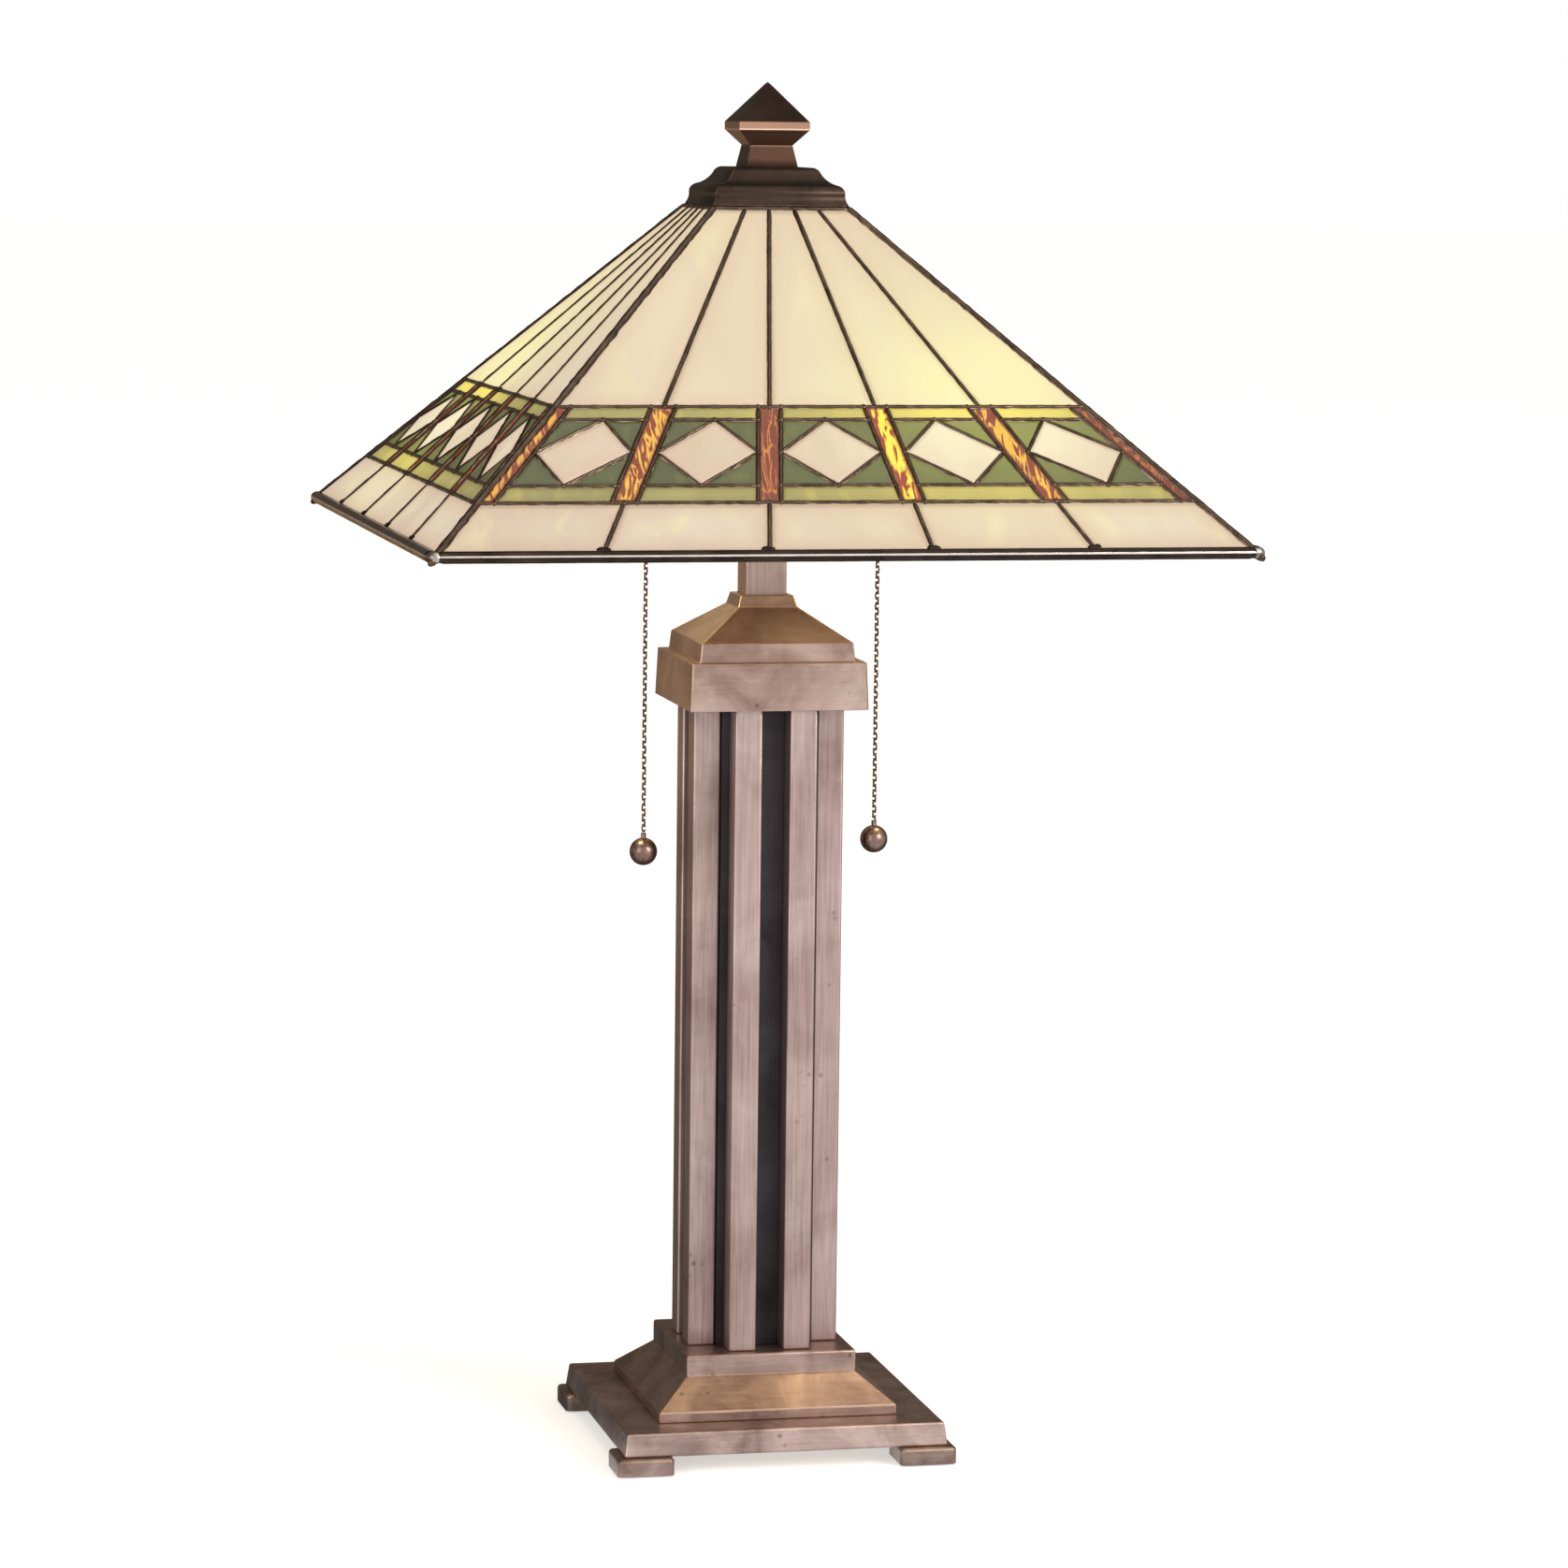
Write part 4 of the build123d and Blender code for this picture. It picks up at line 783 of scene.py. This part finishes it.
def opal_glass(name, dull, bright, lit_colour, rim, wisps=9.0, streak=(1, 0.35, 1), spread=0.5):
    """Opalescent sheet glass: cloudy wisps, pinker at the leads, and lit from behind, the bulbs' light
    painted on as emission and as a yellower colour near them.
    """
    shader = Shader(name)
    cloud = shader.noise(shader.attribute("sheet", streak), wisps, 4, 0.55, 0.9)
    mottle = shader.noise(shader.attribute("sheet", (1, 1, 1)), 240, 2, 0.5)
    cut = shader.noise(shader.attribute("sheet", (0, 0, 1)), 2.3, 2)
    glow = shader.attribute("glow")
    body = shader.mix(shader.range(cloud, 0.5 - spread / 2, 0.5 + spread / 2), dull, bright)
    body = shader.mix(shader.range(cut, 0.35, 0.65, 0.0, 0.45), body, dull)
    warm = shader.noise(shader.attribute("sheet", streak), 1.7 * wisps, 3, 0.5, 1.6)
    body = shader.mix(shader.range(warm, 0.54, 0.72, 0.0, 0.6), body, lit_colour)
    body = shader.mix(shader.range(mottle, 0.3, 0.75, 0.0, 0.06), body, dull)
    body = shader.mix(shader.range(shader.attribute("edge"), 0.0, 0.8, 0.7, 0.0), body, rim)
    uneven = shader.range(cloud, 0.25, 0.75, 0.7, 1.15)
    # Painted light: the pane turns towards the lit colour where the bulbs light it most.
    bulb_tint_share = shader.math("MULTIPLY", shader.range(glow, 0.05, 0.75), uneven)
    body = shader.mix(bulb_tint_share, body, lit_colour)
    shader.bump(shader.noise(shader.attribute("sheet", (1, 0.6, 1)), 90, 1, 0.5), 0.1, 0.3 * MM)
    bulbs = shader.range(glow, 0.0, 1.0, GLOW_FAR, GLOW_NEAR)
    light = shader.math("ADD", bulbs, shader.attribute("shaded"))
    return shader.set(
        Base_Color=shader.mix(1.0, body, (GLASS_ALBEDO,) * 3, "MULTIPLY"),
        Roughness=shader.range(cloud, 0.3, 0.7, 0.26, 0.34),
        Emission_Color=shader.mix(1.0, body, light, "MULTIPLY"),
        Emission_Strength=1.0,
    )


def amber_glass():
    """Rippled amber: thin bright streaks along each bar, which spread, and the bar painted brighter and
    yellower near the bulbs.
    """
    shader = Shader("amber_ripple_glass")
    glow = shader.attribute("glow")
    flow = shader.noise(shader.attribute("sheet", (1, 0.2, 1)), 260, 2, 0.5, 1.0)
    patches = shader.noise(shader.attribute("sheet", (1, 0.55, 1)), 110, 3, 0.5, 0.6)
    brightness = shader.math("ADD", shader.math("MULTIPLY", glow, 0.5), patches)
    reach = shader.range(brightness, 0.4, 1.0, 0.012, 0.12)
    off_line = shader.math("ABSOLUTE", shader.math("SUBTRACT", flow, 0.5))
    streak = shader.range(shader.math("DIVIDE", off_line, reach), 0.6, 1.15, 1.0, 0.0)
    border = shader.range(shader.attribute("edge"), 0.02, 0.12)
    streak = shader.math("MULTIPLY", streak, border)
    unlit_amber = shader.mix(streak, linear(126, 52, 22), linear(204, 112, 48))
    lit_amber = shader.mix(streak, linear(140, 52, 10), linear(255, 216, 62))
    body = shader.mix(shader.range(glow, 0.1, 0.6), unlit_amber, lit_amber)
    light = shader.range(glow, 0.0, 1.0, 0.34, 0.86)
    shader.bump(flow, 0.6, 0.6 * MM)
    shader.set(
        Base_Color=shader.mix(1.0, body, (GLASS_ALBEDO,) * 3, "MULTIPLY"),
        Roughness=0.12,
        Emission_Color=shader.mix(1.0, body, light, "MULTIPLY"),
        Emission_Strength=1.0,
    )
    shader.surface.inputs["Coat Weight"].default_value = 0.3
    return shader.material


def glass_pieces():
    cream = opal_glass(
        "cream_opal", linear(220, 203, 180), linear(240, 228, 205), linear(250, 243, 182),
        linear(222, 192, 168),
    )
    lower = opal_glass(
        "cream_opal_lower", linear(216, 198, 174), linear(240, 228, 208), linear(249, 238, 184),
        linear(216, 186, 162), wisps=16.0, streak=(1, 0.6, 1),
    )
    pale = opal_glass(
        "pale_diamond", linear(206, 186, 158), linear(240, 226, 205), linear(249, 241, 202),
        linear(222, 192, 170), wisps=20.0,
    )
    leaf = opal_glass(
        "light_green_opal", linear(160, 154, 104), linear(200, 196, 134), linear(252, 236, 112),
        linear(136, 126, 76), wisps=26.0, streak=(0.8, 0.3, 1), spread=0.35,
    )
    deep = opal_glass(
        "dark_green_opal", linear(72, 86, 50), linear(130, 136, 84), linear(152, 156, 78),
        linear(74, 78, 54), wisps=34.0, streak=(1, 0.7, 1),
    )
    glass_piece("cream_upper", cream, step=4 * MM, ripple=0.16 * MM, ripple_scale=60)
    glass_piece("cream_lower", lower, step=4 * MM, ripple=0.16 * MM, ripple_scale=60)
    glass_piece("diamond", pale, step=2.5 * MM, ripple=0.12 * MM, ripple_scale=90)
    glass_piece("light_green", leaf, step=2.5 * MM, ripple=0.14 * MM, ripple_scale=110)
    glass_piece("dark_green", deep, step=2.5 * MM, ripple=0.14 * MM, ripple_scale=110)
    glass_piece("amber", amber_glass(), step=1.0 * MM, ripple=0.45 * MM, ripple_scale=420)


glass_pieces()


# ---------------------------------------------------------------- leads
SEAM_STEP = 1.3 * MM
SEAM_HALF_WIDTH = 1.2 * MM
FINE_SEAM_HALF_WIDTH = 1.0 * MM
SEAM_HALF_HEIGHT = 1.75 * MM
# A thin pale line on both sides of each seam: copper foil's edge, coloured pale as a painted highlight.
FOIL_MARGIN = 0.22 * MM
FOIL_DEPTH = 0.4 * MM
FOIL_HALF_HEIGHT = 0.26 * MM
LEAD_FINISH, FOIL_HIGHLIGHT_FINISH = 0, 1
# Panes' edges this near to a hip are left to the hip's own seam.
HIP_ZONE = 4 * MM
# Edges in line with each other are one lead unless the gap between them is wider.
LEAD_GAP = 7 * MM
LEAD_OVERRUN = 1.2 * MM
CROSSING_SLACK = 1.4 * MM
CROSSING_APART = 2.2 * MM
DIAMOND_LEAD_LENGTH = 40 * MM
HIP_HALF_WIDTH = 1.9 * MM
HIP_HALF_HEIGHT = 2.1 * MM
HIP_SINK = 1.5 * MM


def lead_lines(face):
    """The centre lines of the leads between panes, as (start, direction, length), hips left out."""
    rows = []
    for kind, outline in face.panes:
        for (ax, ay), (bx, by) in zip(outline, outline[1:] + outline[:1]):
            middle_u, middle_v = (ax + bx) / 2, (ay + by) / 2
            if abs(abs(middle_u) - face.hip_u(middle_v)) < HIP_ZONE and abs(by - ay) > 5 * MM:
                continue
            length = math.hypot(bx - ax, by - ay)
            dx, dy = (bx - ax) / length, (by - ay) / length
            if dy < -1e-4 or (abs(dy) <= 1e-4 and dx < 0):
                start, dx, dy, side = (bx, by), -dx, -dy, -1
            else:
                start, side = (ax, ay), 1
            nx, ny = dy * side, -dx * side
            px, py = start[0] + nx * HALF_LEAD, start[1] + ny * HALF_LEAD
            offset = py * dx - px * dy
            along = px * dx + py * dy
            rows.append((math.atan2(dy, dx), offset, along, along + length))
    rows.sort()
    groups = []
    for angle, offset, low, high in rows:
        for group in groups:
            if abs(group[0] - angle) < 0.012 and abs(group[1] - offset) < 0.7 * MM:
                group[2].append((low, high))
                break
        else:
            groups.append((angle, offset, [(low, high)]))
    lines = []
    for angle, offset, spans in groups:
        spans.sort()
        merged = [list(spans[0])]
        for low, high in spans[1:]:
            if low < merged[-1][1] + LEAD_GAP:
                merged[-1][1] = max(merged[-1][1], high)
            else:
                merged.append([low, high])
        dx, dy = math.cos(angle), math.sin(angle)
        for low, high in merged:
            low, high = low - LEAD_OVERRUN, high + LEAD_OVERRUN
            start = (low * dx - offset * dy, low * dy + offset * dx)
            lines.append((start, (dx, dy), high - low))
    return lines


def crossings(lines):
    """Where leads meet, each place once."""
    found = []
    for i, ((ax, ay), (adx, ady), alength) in enumerate(lines):
        for (bx, by), (bdx, bdy), blength in lines[i + 1 :]:
            det = adx * bdy - ady * bdx
            if abs(det) < 0.05:
                continue
            s = ((bx - ax) * bdy - (by - ay) * bdx) / det
            t = ((bx - ax) * ady - (by - ay) * adx) / det
            on_a = -CROSSING_SLACK < s < alength + CROSSING_SLACK
            on_b = -CROSSING_SLACK < t < blength + CROSSING_SLACK
            if on_a and on_b:
                point = (ax + adx * s, ay + ady * s)
                if all(math.hypot(point[0] - x, point[1] - y) > CROSSING_APART for x, y in found):
                    found.append(point)
    return found


def lattice(name, face, number):
    """The leads and the pale lines along them (copper foil with a painted highlight) on one face, with a
    blob of solder where they meet.
    """
    mesh = Mesh()
    lines = lead_lines(face)
    for i, (start, direction, length) in enumerate(lines):
        steps = max(3, round(length / SEAM_STEP))
        path = []
        for k in range(steps + 1):
            along = length * k / steps
            u, v = start[0] + direction[0] * along, start[1] + direction[1] * along
            path.append(face.solid(u, v, -SEAM_DEPTH))
        side = face.side * direction[1] - face.slope * direction[0]
        seed = number * 100 + i
        slanted = 0.15 < abs(direction[1]) < 0.9
        fine = slanted and length < DIAMOND_LEAD_LENGTH
        half_width = FINE_SEAM_HALF_WIDTH if fine else SEAM_HALF_WIDTH
        mesh.finish = LEAD_FINISH
        mesh.bead(path, side, face.normal, half_width, SEAM_HALF_HEIGHT, 0.24, seed)
        mesh.finish = FOIL_HIGHLIGHT_FINISH
        foil_path = [point + face.normal * (SEAM_DEPTH - FOIL_DEPTH) for point in path]
        foil_half = half_width + FOIL_MARGIN
        mesh.bead(foil_path, side, face.normal, foil_half, FOIL_HALF_HEIGHT, 0.1, seed + 50, 6)
    mesh.finish = LEAD_FINISH
    for i, (u, v) in enumerate(crossings(lines)):
        seed = number * 50 + i * 0.73
        size = 1 + 0.25 * noise.noise(Vector((seed, 0.5, 0.5)))
        centre = face.solid(u, v, -SEAM_DEPTH)
        mesh.blob(centre, face.side, face.slope, face.normal, 1.6 * MM * size, 2.0 * MM, seed)
    piece = mesh.object(f"lead_lattice_{name}", METAL["lead"], METAL["foil"])
    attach(piece, "shade")
    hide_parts(f"shade_came_{name}")


def seams():
    """The four lattices, and the seam down each hip."""
    for number, (name, face) in enumerate(SHADE.items()):
        lattice(name, face, number)
    mesh = Mesh()
    face = SHADE["front"]
    top_v = (CAP_FOOT - SHADE_FLOOR) / face.slope.z
    for number, angle in enumerate((-135, -45, 45, 135)):
        out = Vector((math.cos(math.radians(angle)), math.sin(math.radians(angle)), 0))
        low = out * (face.half_bottom * math.sqrt(2)) + UP * SHADE_FLOOR
        high = out * (face.hip_u(top_v) * math.sqrt(2)) + UP * CAP_FOOT
        run = (high - low).normalized()
        side = run.cross(out).normalized()
        up = side.cross(run)
        if up.z < 0:
            up = -up
        start = low + run * 2 * MM - up * HIP_SINK
        end = high + run * 1 * MM - up * HIP_SINK
        steps = round((end - start).length / SEAM_STEP)
        path = [start.lerp(end, i / steps) for i in range(steps + 1)]
        mesh.bead(path, side, up, HIP_HALF_WIDTH, HIP_HALF_HEIGHT, 0.2, 900 + number)
    piece = mesh.object("hip_seams", METAL["lead"])
    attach(piece, "shade")


# Faces round the rim's section. The outermost one all along is coloured bright, a painted highlight.
RIM_AROUND = 20
RIM_STEPS = 150
RIM_FINISH, HIGHLIGHT_FINISH, SOLDER_FINISH = 0, 1, 2
RIM_PUDDLE = 2.4 * MM
CORNER_INSET = 1.6 * MM
CORNER_RADIUS = 3.5 * MM
CORNER_HEIGHT = 2.75 * MM


def rim_solder(mesh):
    """A small puddle of solder where each lead runs down onto the rim."""
    for number, face in enumerate(SHADE.values()):
        corners = [corner for kind, outline in face.panes for corner in outline]
        lowest = min(v for u, v in corners)
        low = [(u, v) for u, v in corners if v < lowest + 2 * MM]
        joints = {round(u / MM) for u, v in low if abs(u) < face.hip_u(v) - 8 * MM}
        for i, along in enumerate(sorted(joints)):
            seed = 820 + number * 30 + i
            size = RIM_PUDDLE * (1 + 0.3 * noise.noise(Vector((seed * 0.7, 0.2, 0.4))))
            place = face.solid(along * MM, lowest + 0.2 * MM, -0.8 * MM)
            mesh.blob(place, face.side, face.slope, face.normal, size, 1.7 * MM, seed)


def rim():
    """Four round strips soldered together at the corners."""
    low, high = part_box("shade_rim")
    radius = (high.z - low.z) / 2
    centre_z = (high.z + low.z) / 2
    half = high.x - radius
    mesh = Mesh()
    for number, angle in enumerate(FACES.values()):
        out = Vector((math.cos(math.radians(angle)), math.sin(math.radians(angle)), 0))
        side = Vector((-out.y, out.x, 0))
        middle = out * half + UP * centre_z
        path = [middle + side * (half * (2 * i / RIM_STEPS - 1)) for i in range(RIM_STEPS + 1)]
        first = len(mesh.faces)
        mesh.bead(path, out, UP, radius * 0.95, radius * 0.95, 0.04, 700 + number, around=RIM_AROUND)
        # The outermost faces take the painted highlight's material.
        for row in range(RIM_STEPS):
            mesh.finishes[first + row * RIM_AROUND] = HIGHLIGHT_FINISH
        corner = middle + side * half - (out + side).normalized() * CORNER_INSET
        mesh.finish = SOLDER_FINISH
        mesh.blob(corner, out, side, UP, CORNER_RADIUS, CORNER_HEIGHT, 60 + number, rings=9, around=16)
        mesh.finish = RIM_FINISH
    rim_solder(mesh)
    piece = mesh.object("rim_bead", METAL["rim"], METAL["rim_line"], METAL["solder"])
    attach(piece, "shade")
    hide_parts("shade_rim")


seams()
rim()


# ---------------------------------------------------------------- pull chains
LINK_LENGTH = 3.6 * MM
LINK_WIDTH = 2.5 * MM
LINK_WIRE = 0.46 * MM
LINK_PITCH = 2.4 * MM
LINK_SIDES = 6
LINK_STEPS = 16


def link_ring(mesh, centre, turn, lean):
    """One oval link of round wire."""
    across = Vector((math.cos(turn), math.sin(turn), 0))
    through = UP.cross(across)
    half_straight = (LINK_LENGTH - LINK_WIDTH) / 2
    bend = LINK_WIDTH / 2 - LINK_WIRE
    rows = []
    for i in range(LINK_STEPS + 1):
        angle = 2 * math.pi * i / LINK_STEPS
        shift = half_straight if math.sin(angle) >= 0 else -half_straight
        radial = across * math.cos(angle) + UP * math.sin(angle)
        spine = centre + radial * bend + UP * shift + across * lean
        row = []
        for k in range(LINK_SIDES):
            around = 2 * math.pi * k / LINK_SIDES
            row.append(spine + (radial * math.cos(around) + through * math.sin(around)) * LINK_WIRE)
        rows.append(row)
    mesh.grid(rows, closed=True)


def pull_chains():
    """Chains of oval links, each a little turned and off line, in place of the CAD's plain rods."""
    for number, side in enumerate(SIDES):
        low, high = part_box(f"pull_chain_{side}")
        x = (low.x + high.x) / 2
        mesh = Mesh()
        count = round((high.z - low.z) / LINK_PITCH)
        for i in range(count):
            z = high.z - (i + 0.5) * LINK_PITCH
            turn = (i % 2) * math.pi / 2 + 0.5 * noise.noise(Vector((number * 9.1, i * 0.35, 0.3))) + 0.6
            lean = 0.12 * MM * noise.noise(Vector((number * 5.7, i * 0.8, 4.1)))
            link_ring(mesh, Vector((x, 0, z)), turn, lean)
        piece = mesh.object(f"link_chain_{side}", METAL["chain"], weld=True)
        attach(piece, f"{side}_chain")
        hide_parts(f"pull_chain_{side}")
        finish_node(f"chain_link_{side}", METAL["chain"])


pull_chains()

# ---------------------------------------------------------------- hidden CAD nodes keep a material too
for hidden in ["shade_rim"] + [f"shade_came_{face}" for face in FACES]:
    NODES[hidden].data.materials.clear()
    NODES[hidden].data.materials.append(METAL["lead"])
